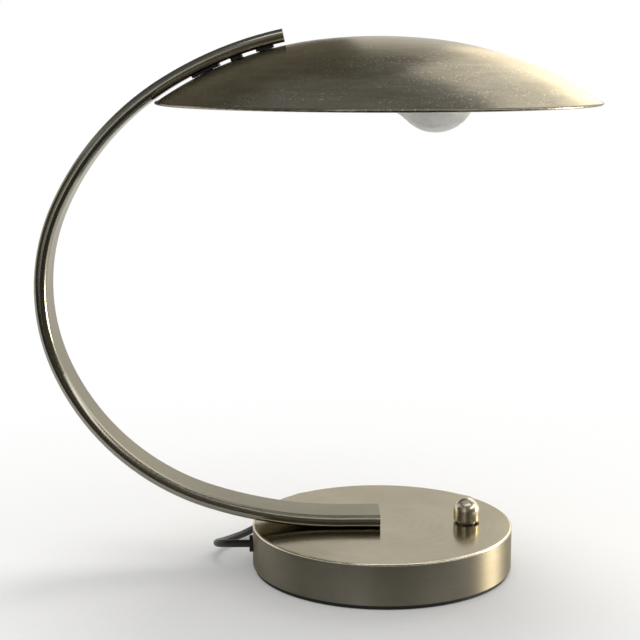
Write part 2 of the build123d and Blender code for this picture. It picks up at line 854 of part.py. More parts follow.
with BuildPart() as dimmer_nut:
    with BuildSketch(level(cover_top_z + dimmer_washer_thickness)):
        with Locations((knob_x, 0)):
            RegularPolygon(dimmer_nut_flats / 2, 6, major_radius=False)
            Circle(bushing_radius, mode=Mode.SUBTRACT)
    extrude(amount=dimmer_nut_height)
keep(dimmer_nut, "dimmer_nut")

with BuildPart() as dimmer_shaft:
    with BuildSketch(level(dimmer_bottom_z + shaft_end_play)):
        with Locations((knob_x, 0)):
            Circle(shaft_radius)
    extrude(amount=shaft_top_z - dimmer_bottom_z - shaft_end_play)
keep(dimmer_shaft, "dimmer_shaft")

grub_plane = Plane(origin=(knob_x, shaft_radius, knob_bottom_z + grub_height), z_dir=(0, 1, 0))
grub_length = knob_radius - grub_depth - shaft_radius
with BuildPart() as knob:
    with BuildSketch(Plane.XZ):
        with BuildLine():
            dome = CenterArc((knob_x, knob_dome_z), knob_radius, 0, 90)
            Polyline(dome @ 0, (knob_x + knob_radius, knob_bottom_z), (knob_x, knob_bottom_z), dome @ 1)
        make_face()
    revolve(axis=Axis((knob_x, 0, 0), (0, 0, 1)))
    with BuildSketch(level(knob_bottom_z)):
        with Locations((knob_x, 0)):
            Circle(knob_recess_radius)
    extrude(amount=knob_recess_depth, mode=Mode.SUBTRACT)
    with BuildSketch(level(knob_bottom_z)):
        with Locations((knob_x, 0)):
            Circle(shaft_radius)
    extrude(amount=shaft_top_z - knob_bottom_z, mode=Mode.SUBTRACT)
    with BuildSketch(grub_plane):
        Circle(grub_radius)
    extrude(amount=knob_radius, mode=Mode.SUBTRACT)
keep(knob, "knob")

with BuildPart() as knob_grub_screw:
    with BuildSketch(grub_plane):
        Circle(grub_radius)
    extrude(amount=grub_length)
keep(knob_grub_screw, "knob_grub_screw")

# Lead inside the drum: grommet, anchor and terminals
grommet_outer_x = -base_radius - grommet_flange
grommet_inner_x = -cover_inner_radius + grommet_inner_flange
with BuildPart() as cord_grommet:
    with BuildSketch(Plane.YZ.offset(grommet_outer_x)):
        with Locations((0, cord_height)):
            Circle(grommet_flange_radius)
    extrude(amount=grommet_inner_x - grommet_outer_x)
    with BuildSketch():
        Circle(base_radius)
        Circle(cover_inner_radius, mode=Mode.SUBTRACT)
    extrude(amount=cover_top_z, mode=Mode.SUBTRACT)
    with BuildSketch(Plane.YZ.offset(grommet_outer_x)):
        with Locations((0, cord_height)):
            Circle(grommet_neck_radius)
    extrude(amount=grommet_inner_x - grommet_outer_x)
    with BuildSketch(Plane.YZ.offset(grommet_outer_x)):
        with Locations((0, cord_height)):
            Circle(cord_radius)
    extrude(amount=grommet_inner_x - grommet_outer_x, mode=Mode.SUBTRACT)
keep(cord_grommet, "cord_grommet")

with BuildPart() as cord_anchor:
    with BuildSketch(level(weight_top_z)):
        with Locations((anchor_block_x, 0)):
            Rectangle(anchor_block_length, anchor_block_width)
        with Locations(*anchor_screw_places):
            Circle(anchor_screw_radius + screw_play, mode=Mode.SUBTRACT)
    extrude(amount=anchor_block_height)
    with BuildSketch(Plane.YZ.offset(anchor_block_x)):
        with Locations((0, cord_height)):
            Circle(cord_radius)
    extrude(amount=anchor_block_length, both=True, mode=Mode.SUBTRACT)
keep(cord_anchor, "cord_anchor")

anchor_top_z = weight_top_z + anchor_block_height
with BuildPart() as cord_anchor_screws:
    with BuildSketch(level(anchor_top_z)):
        with Locations(*anchor_screw_places):
            Circle(anchor_screw_head_radius)
    extrude(amount=anchor_screw_head_height)
    with BuildSketch(level(anchor_top_z)):
        with Locations(*anchor_screw_places):
            Circle(anchor_screw_radius)
    extrude(amount=-anchor_block_height - anchor_screw_grip)
keep(cord_anchor_screws, "cord_anchor_screws")

with BuildPart() as terminal_block:
    with BuildSketch(level(weight_top_z)):
        with Locations((terminal_x, 0)):
            Rectangle(terminal_length, terminal_width)
    extrude(amount=terminal_height)
keep(terminal_block, "terminal_block")

with BuildPart() as cord_inner:
    with BuildSketch(Plane.YZ.offset(grommet_outer_x)):
        with Locations((0, cord_height)):
            Circle(cord_radius)
    extrude(amount=terminal_face_x - grommet_outer_x)
keep(cord_inner, "cord_inner")

# Free lead, hank, tail, tie and plug
lead_path = bent_path(lead_points)
cord_lead = tube(lead_path, cord_radius)
keep(cord_lead, "cord_lead")

hank_x = lead_points[-1][0] + hank_half_run + hank_fold_radius + hank_pitch * hank_eighths_in / 8
hank_y = lead_points[-1][1]
hank_high_z = lead_points[-1][2]


def hank_node(eighth):
    """Place and direction of the cord after a number of eighths of a loop."""
    fold = hank_fold_radius + hank_pitch * abs(eighth - hank_eighths_in) / 8
    waist = fold - hank_waist_draw
    places = [
        (-hank_half_run - fold, 0, 0, 1),
        (-hank_half_run, fold, 1, 0),
        (0, waist, 1, 0),
        (hank_half_run, fold, 1, 0),
        (hank_half_run + fold, 0, 0, -1),
        (hank_half_run, -fold, -1, 0),
        (0, -waist, -1, 0),
        (-hank_half_run, -fold, -1, 0),
    ]
    x, y, way_x, way_y = places[eighth % 8]
    way_z = 0
    if eighth < hank_eighths_in:
        dropped_share = 0
    elif eighth > hank_eighths_in:
        dropped_share = 1
    else:
        dropped_share = hank_drop_share
        y += hank_drop_draw
        way_y = hank_layer_shift / hank_half_run / 2
        way_z = -hank_layer_step / hank_half_run
    y += hank_layer_shift * dropped_share
    z = hank_high_z - hank_layer_step * dropped_share
    return Vector(hank_x + x, hank_y + y, z), Vector(way_x, way_y, way_z).normalized()


hank_nodes = [hank_node(eighth) for eighth in range(hank_eighths_in + hank_eighths_out + 1)]
with BuildLine() as hank_line:
    for (start, start_way), (finish, finish_way) in zip(hank_nodes, hank_nodes[1:]):
        biarc(start, start_way, finish, finish_way)
hank_path = hank_line.wires()[0]
cord_hank = tube(hank_path, cord_radius)
keep(cord_hank, "cord_hank")

hank_points = [tuple(hank_path @ (index / hank_samples)) for index in range(hank_samples + 1)]
hank_apart = int(8 * cord_radius / hank_path.length * hank_samples)
hank_gaps = [
    dist(hank_points[first], hank_points[second]) - 2 * cord_radius
    for first in range(hank_samples + 1)
    for second in range(first + hank_apart, hank_samples + 1)
]
print("hank least self gap", round(min(hank_gaps), 2), "end", hank_nodes[-1][0])

tail_path = bent_path(tail_points)
cord_tail = tube(tail_path, cord_radius)
keep(cord_tail, "cord_tail")

waist_places = [(place.Y, place.Z) for place, _ in hank_nodes if abs(place.X - hank_x) < cord_radius]
low_places = [place for place in waist_places if place[1] < hank_high_z - hank_layer_step / 2]
high_places = [place for place in waist_places if place[1] > hank_high_z - hank_layer_step / 2]
tie_places = [min(low_places), max(low_places), min(high_places), max(high_places)]
tie_inner = cord_radius + tie_play
with BuildPart() as cord_tie:
    for tie_reach, tie_mode in ((tie_inner + tie_thickness, Mode.ADD), (tie_inner, Mode.SUBTRACT)):
        with BuildSketch(Plane.YZ.offset(hank_x)):
            with Locations(*tie_places):
                Circle(tie_reach)
            make_hull()
        extrude(amount=tie_width / 2, both=True, mode=tie_mode)
keep(cord_tie, "cord_tie")

plug_x = tail_points[-1][0]
plug_z = tail_points[-1][2]
plug_rear_y = tail_points[-1][1] - plug_sleeve_length
plug_front_y = plug_rear_y - plug_length
with BuildPart() as plug_body:
    with BuildSketch(level(plug_z - plug_height / 2)):
        with BuildLine():
            Polyline(
                (plug_x - plug_width / 2, plug_front_y),
                (plug_x + plug_width / 2, plug_front_y),
                (plug_x + plug_width / 2, (plug_front_y + plug_rear_y) / 2),
                (plug_x + plug_rear_width / 2, plug_rear_y),
                (plug_x - plug_rear_width / 2, plug_rear_y),
                (plug_x - plug_width / 2, (plug_front_y + plug_rear_y) / 2),
                close=True,
            )
        make_face()
    extrude(amount=plug_height)
    fillet(plug_body.edges().filter_by(Axis.Z), radius=plug_edge_radius)
    plug_levels = plug_body.edges().group_by(Axis.Z)
    fillet(plug_levels[-1] + plug_levels[0], radius=plug_edge_radius)
    with BuildSketch(Plane(origin=(plug_x, plug_rear_y, plug_z), z_dir=(0, 1, 0))):
        Circle(plug_sleeve_radius)
    with BuildSketch(Plane(origin=(plug_x, tail_points[-1][1], plug_z), z_dir=(0, 1, 0))):
        Circle(plug_sleeve_end_radius)
    loft()
keep(plug_body, "plug_body")

with BuildPart() as plug_pins:
    with BuildSketch(Plane(origin=(plug_x, plug_front_y, plug_z), x_dir=(1, 0, 0), z_dir=(0, -1, 0))):
        with GridLocations(pin_spacing, 0, 2, 1):
            Circle(pin_radius)
    extrude(amount=pin_length)
    fillet(plug_pins.edges().group_by(Axis.Y)[0], radius=pin_radius / 2)
keep(plug_pins, "plug_pins")

print("slide centre", round(slide_x, 3), round(slide_z, 3))
print("arm end", top_bend @ 1, "angle", round(arm_end_angle, 2))
print("shade crown", round(crown_z, 2), "rim", round(rim_z, 2), "axis", round(shade_axis_x, 3))
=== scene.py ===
"""Finishes, mains lead and stage of an arc table lamp, set round its solid model."""

from collections import namedtuple
from math import pi, radians, tan

import bpy
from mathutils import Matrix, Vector


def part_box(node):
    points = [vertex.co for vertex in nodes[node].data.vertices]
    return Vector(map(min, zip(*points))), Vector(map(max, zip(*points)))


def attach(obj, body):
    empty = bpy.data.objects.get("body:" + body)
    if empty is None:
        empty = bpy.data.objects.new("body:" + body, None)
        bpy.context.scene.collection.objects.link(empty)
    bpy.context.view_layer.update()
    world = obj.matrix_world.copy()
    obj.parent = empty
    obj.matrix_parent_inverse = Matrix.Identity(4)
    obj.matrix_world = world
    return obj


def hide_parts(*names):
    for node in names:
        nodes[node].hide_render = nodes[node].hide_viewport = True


bl_info = {
    "name": "Arc table lamp",
    "version": (1, 0, 0),
    "blender": (4, 5, 0),
    "location": "View3D > Sidebar > Lamp",
    "description": "Finishes, mains lead and stage of an arc table lamp",
    "category": "Object",
}

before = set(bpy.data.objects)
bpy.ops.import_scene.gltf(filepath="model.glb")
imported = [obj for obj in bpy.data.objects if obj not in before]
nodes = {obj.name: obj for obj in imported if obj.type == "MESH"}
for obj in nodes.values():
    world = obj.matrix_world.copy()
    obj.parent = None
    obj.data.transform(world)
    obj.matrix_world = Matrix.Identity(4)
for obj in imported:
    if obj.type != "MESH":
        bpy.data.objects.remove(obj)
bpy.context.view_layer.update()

# Lengths are in metres.

# Route of the mains lead: from the grommet to the hank, and from the hank to the plug
LEAD_POINTS = [
    (-0.1025, 0.0, 0.017),
    (-0.1132, 0.0, 0.017),
    (-0.1232, 0.0054, 0.0152),
    (-0.1288, 0.0154, 0.0122),
    (-0.1292, 0.027, 0.0089),
    (-0.1245, 0.039, 0.0062),
    (-0.1175, 0.051, 0.0049),
    (-0.109, 0.063, 0.0044),
    (-0.1, 0.075, 0.0056),
    (-0.091, 0.0868, 0.0082),
    (-0.082, 0.098, 0.0104),
    (-0.0746, 0.1094, 0.011),
]
TAIL_POINTS = [
    (0.064, 0.1684, 0.0044),
    (0.075, 0.1638, 0.0044),
    (0.0834, 0.1554, 0.005),
    (0.088, 0.1444, 0.006),
    (0.088, 0.136, 0.006),
]
HANK_DROP_POINT = (0.002, 0.127, 0.01)  # on the way from the upper layer to the lower

# Winding of the hank, in eighths of a turn: where one turn has its points, and how far it winds
TURN_EIGHTHS = (0.25, 0.75, 1.4, 2.0, 2.6, 3.25, 3.75, 4.25, 4.75, 5.4, 6.0, 6.6, 7.25, 7.75)
EIGHTHS_IN = 14
EIGHTHS_ALL = 35
EIGHTHS_LEFT_OFF = 0.3
CURVE_ORDER = 3
CURVE_STEPS = 6
CURVE_SECTION_STEPS = 4

# Tie round the hank: corners of its buckle and tongue, from the middle of the buckle's seat
TIE_BEVEL = 0.0003
TIE_SHARP_ANGLE = radians(60)
BUCKLE_SETBACK = 0.003
BUCKLE_CORNERS = (Vector((-0.0055, -0.003, -0.0006)), Vector((0.0055, 0.003, 0.0024)))
BUCKLE_BEVEL = 0.0007
BUCKLE_FRAME = 0.0012
BUCKLE_SINK = 0.0006
TONGUE_CORNERS = (Vector((-0.0035, -0.0075, -0.0002)), Vector((0.0035, 0.0045, 0.0012)))
TONGUE_BEVEL = 0.0004

# Finger ribs on the plug, and rings round its tapered sleeve
RIB_COUNT = 4
RIB_FIRST = 0.0065
RIB_PITCH = 0.0028
RIB_LENGTH = 0.017
RIB_WIDTH = 0.0014
RIB_PROUD = 0.0005
RIB_SUNK = 0.0003
RIB_BEVEL = 0.0003
PLUG_SLEEVE = 0.02
SLEEVE_END_RADIUS = 0.0036
SLEEVE_TAPER = 0.001
SLEEVE_RING_COUNT = 5
SLEEVE_RING_FIRST = 0.003
SLEEVE_RING_PITCH = 0.0031
SLEEVE_RING_RADIUS = 0.0009
SLEEVE_RING_STRETCH = (0.6, 1, 1)
SLEEVE_RING_STEPS = 32

# Insulating sleeves on the pins
PIN_SLEEVE_LENGTH = 0.0092
PIN_SLEEVE_PROUD = 0.0003
PIN_SLEEVE_WALL = 0.0006
PIN_SLEEVE_BEVEL = 0.00015
PIN_SLEEVE_SIDES = 32

# Smooth beads over the rounded edges of drum and rim, and where the finishes change there
DRUM_EDGE = 0.00125
DRUM_EDGE_RADIUS = 0.0012
DRUM_EDGE_PROUD = 0.00003
RIM_BEAD = 0.0026
RIM_BEAD_RADIUS = 0.0011
RIM_ROLL_RADIUS = 0.00113
RIM_PLAY = 0.00001
BEAD_STEPS = 360

# Modelling
SECTION_SIDES = 24
BEVEL_STEPS = 3
FINE_BEVEL_STEPS = 2
WELD = 0.000005
LEVEL_PLAY = 0.00001
LEVEL_NORMAL = 0.99
UPRIGHT_NORMAL = 0.3
UNDERSIDE_NORMAL = -0.2
SMOOTH_ANGLE = radians(35)
SHADE_AXIS_X = sum(corner.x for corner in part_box("shade_shell")) / 2
KNOB_X = sum(corner.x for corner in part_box("knob")) / 2
DRUM_X = 0.0

# How much darker or paler than the nickel a piece is: the darker drum wall, arm and rim hem are painted shade,
# the paler drum edge and knob are painted highlight and sheen
WALL_SHADE_SHARE = 0.5
EDGE_HIGHLIGHT_SHARE = 1.9
ARM_SHADE_SHARES = (0.64, 0.66, 0.69)
RIM_SHADE_SHARE = 0.6
KNOB_SHEEN_SHARE = 1.35
METAL_TINT = (0.7, 0.66, 0.58, 1.0)
DUST_SHARE, DUST_LIFT = 1.5, 0.006

# Shader nodes: the sockets of a colour mix, a quarter turn, and where most of a noise's values lie
MIX_FACTOR, MIX_FIRST, MIX_SECOND, MIX_RESULT = 0, 6, 7, 2
QUARTER_TURN = 0.25
NOISE_SPAN = (0.3, 0.7)

# Floor and world: the floor fades to white with the distance from the lamp, the world dims with height
FLOOR_SIZE = 8.0
FLOOR_DROP = 0.0004
FADE_START, FADE_END = 0.12, 0.62
FADE_LEAST = 0.2
PALE_HEIGHT, DIM_HEIGHT = 0.36, 0.62
DIM_STRENGTH = 0.18
EVEN_STRENGTH = 0.45
SENSOR_WIDTH_MM = 36.0

# Lights: the setting that holds the power, and whether it lights the scene and shows in metal
WARM, WHITE = (1.0, 0.87, 0.66), (1.0, 0.98, 0.95)
StageLight = namedtuple("StageLight", "name place aim width height power colour lights mirrors")
LIGHTS = (
    StageLight("window", (0.89, 0.17, 0.13), (0, 0, 0.1), 0.3, 0.22, "window_power", WARM, False, True),
    StageLight("high_window", (1.1, -0.4, 0.8), (-0.15, 0, 0.25), 1.8, 0.34, "high_power", WHITE, False, True),
    StageLight("glow", (0.6, 1.5, 0.8), (0, 0, 0.1), 0.6, 0.6, "glow_power", WARM, False, True),
    StageLight("sky_panel", (1.28, 1.56, 1.5), (0, 0, 0.3), 1.7, 2.1, "fill_power", WHITE, True, True),
    StageLight("overhead", (0.15, 0.5, 1.8), (0, 0, 0), 0.7, 0.7, "overhead_power", WHITE, True, False),
    StageLight("front_top", (0.2, -0.7, 1.75), (0, 0, 0.1), 1.6, 0.5, "front_power", WHITE, True, True),
)

# Dark cards round the lamp: their lower and upper corners
BROWN, BLACK, GREY = (0.15, 0.13, 0.09), (0.05, 0.05, 0.045), (0.2, 0.19, 0.16)
StageCard = namedtuple("StageCard", "name low high colour")
CARDS = (
    StageCard("front_flag_left", (-2.2, -1.62, 0.0), (-1.45, -1.6, 1.6), BROWN),
    StageCard("front_flag_middle", (-1.2, -1.62, 0.0), (-0.8, -1.6, 1.6), BROWN),
    StageCard("front_flag_right", (-0.38, -1.62, 0.0), (2.2, -1.6, 1.3), BROWN),
    StageCard("right_flag", (2.2, -1.6, 0.0), (2.22, 0.1, 1.0), BROWN),
    StageCard("floor_flag", (-2.2, -1.6, 0.001), (2.2, -0.157, 0.003), BLACK),
    StageCard("left_flag", (-2.22, -1.6, 0.0), (-2.2, 0.4, 1.4), BROWN),
    StageCard("back_flag", (-2.0, 1.6, 0.68), (0.0, 1.62, 2.4), GREY),
)


def colour_setting(name, description, default):
    """A colour in a property group."""
    return bpy.props.FloatVectorProperty(
        name=name, description=description, default=default, subtype="COLOR", min=0, max=1
    )


def power_setting(name, description, default):
    """The power of a light in a property group."""
    return bpy.props.FloatProperty(name=name, description=description, default=default, unit="POWER")


def angle_setting(name, description, default):
    """An angle in a property group."""
    return bpy.props.FloatProperty(name=name, description=description, default=default, subtype="ANGLE")


def length_setting(name, description, default):
    """A length in a property group."""
    return bpy.props.FloatProperty(name=name, description=description, default=default, subtype="DISTANCE")


def place_setting(name, description, default):
    """A place in a property group."""
    return bpy.props.FloatVectorProperty(
        name=name, description=description, default=default, subtype="XYZ", unit="LENGTH"
    )


class LampStageSettings(bpy.types.PropertyGroup):
    """Camera, lights and floor."""

    camera_place: place_setting("Camera place", "Where the camera stands", (-0.0602, -1.1311, 0.3955))
    camera_tilt: angle_setting("Camera tilt", "Turn from looking straight down", radians(79.86))
    camera_turn: angle_setting("Camera turn", "Turn about the vertical", radians(-0.6245))
    camera_lens: bpy.props.FloatProperty(
        name="Lens", description="Focal length of the camera", default=85.4, unit="CAMERA"
    )
    floor_colour: colour_setting("Floor", "Colour of the floor", (0.8, 0.8, 0.79))
    window_power: power_setting("Window", "Power of the warm pane that the drum mirrors on its right", 8.5)
    high_power: power_setting("High window", "Power of the strip that the arm mirrors low on its left", 4.2)
    glow_power: power_setting("Glow", "Power of the warm patch that metal mirrors behind on the right", 1.6)
    fill_power: power_setting("Sky panel", "Power of the large light behind on the right", 11.0)
    front_power: power_setting("Front top", "Power of the light above the camera", 6.0)
    overhead_power: power_setting("Overhead", "Power of the light above, which metal doesn't mirror", 20.0)


class LampFinishSettings(bpy.types.PropertyGroup):
    """Colours of the finishes."""

    nickel: colour_setting("Nickel", "Satin nickel of arm, base and shade", (0.46, 0.43, 0.35))
    tarnish: colour_setting("Tarnish", "Darker patches in the nickel", (0.36, 0.33, 0.25))
    lacquer: colour_setting("Lacquer", "White lacquer inside the shade", (0.83, 0.82, 0.77))
    black_plastic: colour_setting("Black plastic", "Blocks, dimmer, lead and plug", (0.012, 0.012, 0.011))


class LampLeadSettings(bpy.types.PropertyGroup):
    """Sizes of the mains lead and its hank."""

    cord_radius: length_setting("Cord radius", "Half the thickness of the lead", 0.003)
    cord_length: length_setting("Cord length", "Free length from grommet to plug", 1.763)
    hank_half_run: length_setting("Half run", "Half the length between the folds", 0.046)
    hank_fold_radius: length_setting("Fold radius", "Radius of the innermost fold", 0.018)
    hank_pitch: length_setting("Pitch", "Distance from one turn to the next", 0.0072)
    hank_draw: length_setting("Waist draw", "How far the tie draws each run in", 0.0127)
    hank_layer_step: length_setting("Layer step", "Height between the two layers", 0.0066)
    hank_layer_shift: length_setting("Layer shift", "How far the lower layer lies further back", 0.0095)
    hank_middle: place_setting("Hank middle", "Middle of the upper layer", (0.002, 0.122, 0.011))


def shaded(colour, *shares):
    """A colour made darker or paler by one share, or by one for each channel."""
    if len(shares) == 1:
        shares = shares * len(colour)
    return tuple(min(1.0, channel * share) for channel, share in zip(colour, shares))


def add_node(tree, kind, settings=None, sockets=None):
    """A shader node with its settings and socket values."""
    made = tree.nodes.new(kind)
    for key, value in (settings or {}).items():
        setattr(made, key, value)
    for key, value in (sockets or {}).items():
        made.inputs[key].default_value = value
    return made


def start_material(name, sockets):
    """A material with one main shader, and the coordinates of its object."""
    material = bpy.data.materials.new(name)
    material.use_nodes = True
    tree = material.node_tree
    tree.nodes.clear()
    output = add_node(tree, "ShaderNodeOutputMaterial")
    shader = add_node(tree, "ShaderNodeBsdfPrincipled", sockets=sockets)
    tree.links.new(shader.outputs["BSDF"], output.inputs["Surface"])
    place = add_node(tree, "ShaderNodeTexCoord")
    return material, tree, shader, place.outputs["Object"]


def noise(tree, place, scale, detail=3.0, rough=0.55, stretch=(1, 1, 1)):
    """Noise over the object, stretched along its axes."""
    mapping = add_node(tree, "ShaderNodeMapping", sockets={"Scale": stretch})
    texture = add_node(
        tree, "ShaderNodeTexNoise", sockets={"Scale": scale, "Detail": detail, "Roughness": rough}
    )
    tree.links.new(place, mapping.inputs["Vector"])
    tree.links.new(mapping.outputs["Vector"], texture.inputs["Vector"])
    return texture.outputs[0]


def remap(tree, value, span, result):
    """A value moved from one range to another, held at its ends."""
    sockets = {"From Min": span[0], "From Max": span[1], "To Min": result[0], "To Max": result[1]}
    made = add_node(tree, "ShaderNodeMapRange", sockets=sockets)
    tree.links.new(value, made.inputs["Value"])
    return made.outputs["Result"]


def mix_colour(tree, factor, first, second):
    """Two colours, or colour outputs, mixed by a factor output."""
    made = add_node(tree, "ShaderNodeMix", settings={"data_type": "RGBA"})
    tree.links.new(factor, made.inputs[MIX_FACTOR])
    for socket, colour in ((made.inputs[MIX_FIRST], first), (made.inputs[MIX_SECOND], second)):
        if isinstance(colour, bpy.types.NodeSocket):
            tree.links.new(colour, socket)
        else:
            socket.default_value = (*colour, 1.0)
    return made.outputs[MIX_RESULT]


def add_bump(tree, shader, height, strength, distance):
    """Small relief from a height."""
    made = add_node(tree, "ShaderNodeBump", sockets={"Strength": strength, "Distance": distance})
    tree.links.new(height, made.inputs["Height"])
    tree.links.new(made.outputs["Normal"], shader.inputs["Normal"])


def add_roughness(tree, shader, value, roughness, less, more):
    """Roughness that varies with a value, between two shares of its middle."""
    varied = remap(tree, value, NOISE_SPAN, (roughness * less, roughness * more))
    tree.links.new(varied, shader.inputs["Roughness"])


def seen_rays(tree):
    """One for rays from the camera and for those that metal and glass send on, else zero."""
    path = add_node(tree, "ShaderNodeLightPath")
    total = path.outputs["Is Camera Ray"]
    for name in ("Is Glossy Ray", "Is Transmission Ray"):
        both = add_node(tree, "ShaderNodeMath", settings={"operation": "MAXIMUM"})
        tree.links.new(total, both.inputs[0])
        tree.links.new(path.outputs[name], both.inputs[1])
        total = both.outputs["Value"]
    return total


def ring_place(tree, place, centre_x):
    """Place on a turned piece: x and y, and the way out from its upright axis and down its wall."""
    shifted = add_node(
        tree, "ShaderNodeVectorMath", settings={"operation": "SUBTRACT"}, sockets={1: (centre_x, 0, 0)}
    )
    parts = add_node(tree, "ShaderNodeSeparateXYZ")
    level = add_node(tree, "ShaderNodeVectorMath", settings={"operation": "MULTIPLY"}, sockets={1: (1, 1, 0)})
    radius = add_node(tree, "ShaderNodeVectorMath", settings={"operation": "LENGTH"})
    way = add_node(tree, "ShaderNodeMath", settings={"operation": "SUBTRACT"})
    ringed = add_node(tree, "ShaderNodeCombineXYZ")
    tree.links.new(place, shifted.inputs[0])
    tree.links.new(shifted.outputs["Vector"], parts.inputs["Vector"])
    tree.links.new(shifted.outputs["Vector"], level.inputs[0])
    tree.links.new(level.outputs["Vector"], radius.inputs[0])
    tree.links.new(radius.outputs["Value"], way.inputs[0])
    tree.links.new(parts.outputs["Z"], way.inputs[1])
    tree.links.new(parts.outputs["X"], ringed.inputs["X"])
    tree.links.new(parts.outputs["Y"], ringed.inputs["Y"])
    tree.links.new(way.outputs["Value"], ringed.inputs["Z"])
    return ringed.outputs["Vector"]


def brushed_metal(
    name, colour, tarnish, stretch, roughness, turned_about=None, patina=0.6, lines=0.1, grain=0.0
):
    """Satin metal: brush lines along one way, and soft patches of tarnish.

    Grain draws the highlights of a turned wall out upright.
    """
    material, tree, shader, place = start_material(
        name,
        {
            "Metallic": 1.0,
            "Specular Tint": METAL_TINT,
            "Anisotropic": grain,
            "Anisotropic Rotation": QUARTER_TURN if grain else 0.0,
        },
    )
    if grain:
        ring = add_node(tree, "ShaderNodeTangent", settings={"direction_type": "RADIAL", "axis": "Z"})
        tree.links.new(ring.outputs["Tangent"], shader.inputs["Tangent"])
    along = place if turned_about is None else ring_place(tree, place, turned_about)
    brush = noise(tree, along, scale=1.0, detail=3.0, rough=0.6, stretch=stretch)
    patches = noise(tree, place, scale=22.0, detail=5.0, rough=0.6)
    toned = mix_colour(tree, remap(tree, patches, (0.4, 0.65), (0.0, patina)), colour, tarnish)
    scuffs = remap(tree, brush, (0.45, 0.7), (0.0, 0.25))
    scuffed = mix_colour(tree, scuffs, toned, shaded(colour, 1.25))
    tree.links.new(scuffed, shader.inputs["Base Color"])
    add_roughness(tree, shader, patches, roughness, less=0.9, more=1.12)
    add_bump(tree, shader, brush, strength=lines, distance=0.00004)
    return material


def spun_metal(name, colour, tarnish, roughness, turned_about, specks=0.9):
    """Old spun metal: smears round its axis, cloudy tarnish, and crowds of pale specks."""
    material, tree, shader, place = start_material(name, {"Metallic": 1.0, "Specular Tint": METAL_TINT})
    along = ring_place(tree, place, turned_about)
    clouds = noise(tree, place, scale=16.0, detail=5.0, rough=0.62)
    smears = noise(tree, along, scale=1.0, detail=6.0, rough=0.68, stretch=(30, 30, 110))
    grains = noise(tree, place, scale=560.0, detail=2.0, rough=0.5)
    crowds = noise(tree, along, scale=1.0, detail=5.0, rough=0.65, stretch=(22, 22, 40))
    toned = mix_colour(tree, remap(tree, clouds, (0.38, 0.62), (0.0, 0.9)), colour, tarnish)
    smeared = mix_colour(tree, remap(tree, smears, (0.42, 0.68), (0.0, 0.6)), toned, shaded(colour, 1.3))
    speckled = add_node(tree, "ShaderNodeMath", settings={"operation": "MULTIPLY"})
    tree.links.new(remap(tree, grains, (0.585, 0.655), (0.0, specks)), speckled.inputs[0])
    tree.links.new(remap(tree, crowds, (0.45, 0.62), (0.05, 1.0)), speckled.inputs[1])
    worn = mix_colour(tree, speckled.outputs["Value"], smeared, shaded(colour, 1.9))
    tree.links.new(worn, shader.inputs["Base Color"])
    add_roughness(tree, shader, smears, roughness, less=0.9, more=1.15)
    add_bump(tree, shader, grains, strength=0.02, distance=0.00003)
    return material


def plain_metal(name, colour, roughness):
    """Plated or plain small hardware: faint turning marks and stains."""
    material, tree, shader, place = start_material(name, {"Metallic": 1.0})
    stains = noise(tree, place, scale=90.0, detail=4.0)
    marks = noise(tree, place, scale=300.0, detail=2.0)
    toned = mix_colour(tree, remap(tree, stains, (0.35, 0.7), (0.0, 1.0)), colour, shaded(colour, 0.72))
    tree.links.new(toned, shader.inputs["Base Color"])
    add_roughness(tree, shader, marks, roughness, less=0.8, more=1.25)
    add_bump(tree, shader, marks, strength=0.15, distance=0.00005)
    return material


def moulded_plastic(name, colour, roughness, grain=1800.0, depth=0.2):
    """Moulded plastic or rubber: fine grain, and dust that makes it a little uneven."""
    material, tree, shader, place = start_material(name, {"Specular IOR Level": 0.45})
    texture = noise(tree, place, scale=grain, detail=2.0)
    dust = noise(tree, place, scale=60.0, detail=5.0, rough=0.65)
    dusty = tuple(min(1, channel * DUST_SHARE + DUST_LIFT) for channel in colour)
    toned = mix_colour(tree, remap(tree, dust, (0.4, 0.75), (0.0, 1.0)), colour, dusty)
    tree.links.new(toned, shader.inputs["Base Color"])
    add_roughness(tree, shader, dust, roughness, less=0.85, more=1.15)
    add_bump(tree, shader, texture, strength=depth, distance=0.00008)
    return material


def dress(material, *names):
    """Gives CAD nodes a material."""
    for name in names:
        data = nodes[name].data
        data.materials.clear()
        data.materials.append(material)


def deselect():
    """Leaves nothing selected or active."""
    bpy.ops.object.select_all(action="DESELECT")
    bpy.context.view_layer.objects.active = None


def pick(piece):
    """Selects one piece alone and makes it active."""
    deselect()
    piece.select_set(True)
    bpy.context.view_layer.objects.active = piece


def edit(piece):
    """Opens a piece for editing with all of it selected."""
    pick(piece)
    bpy.ops.object.mode_set(mode="EDIT")
    bpy.ops.mesh.select_all(action="SELECT")


def apply_place():
    """Moves the active piece's place, turn and size into its mesh."""
    bpy.ops.object.transform_apply(location=True, rotation=True, scale=True)


def settle(piece, name, material, body):
    """Applies a piece's place, names it and gives it its finish and its body."""
    pick(piece)
    apply_place()
    bpy.ops.object.shade_smooth_by_angle(angle=SMOOTH_ANGLE)
    piece.name = name
    piece.data.name = name
    piece.data.materials.clear()
    piece.data.materials.append(material)
    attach(piece, body)
    return piece


def join(pieces):
    """Makes one piece of several."""
    deselect()
    for piece in pieces:
        piece.select_set(True)
    bpy.context.view_layer.objects.active = pieces[0]
    bpy.ops.object.join()
    return bpy.context.active_object


def block_between(low, high):
    """A block between two corners, with its place in its mesh."""
    deselect()
    bpy.ops.mesh.primitive_cube_add(size=1.0, location=[(a + b) / 2 for a, b in zip(low, high)])
    block = bpy.context.active_object
    block.dimensions = [b - a for a, b in zip(low, high)]
    apply_place()
    return block


def rounded_block(low, high, bevel):
    """A block between two corners, with rounded edges."""
    block = block_between(low, high)
    edit(block)
    bpy.ops.mesh.bevel(offset=bevel, segments=BEVEL_STEPS, affect="EDGES")
    bpy.ops.object.mode_set(mode="OBJECT")
    return block


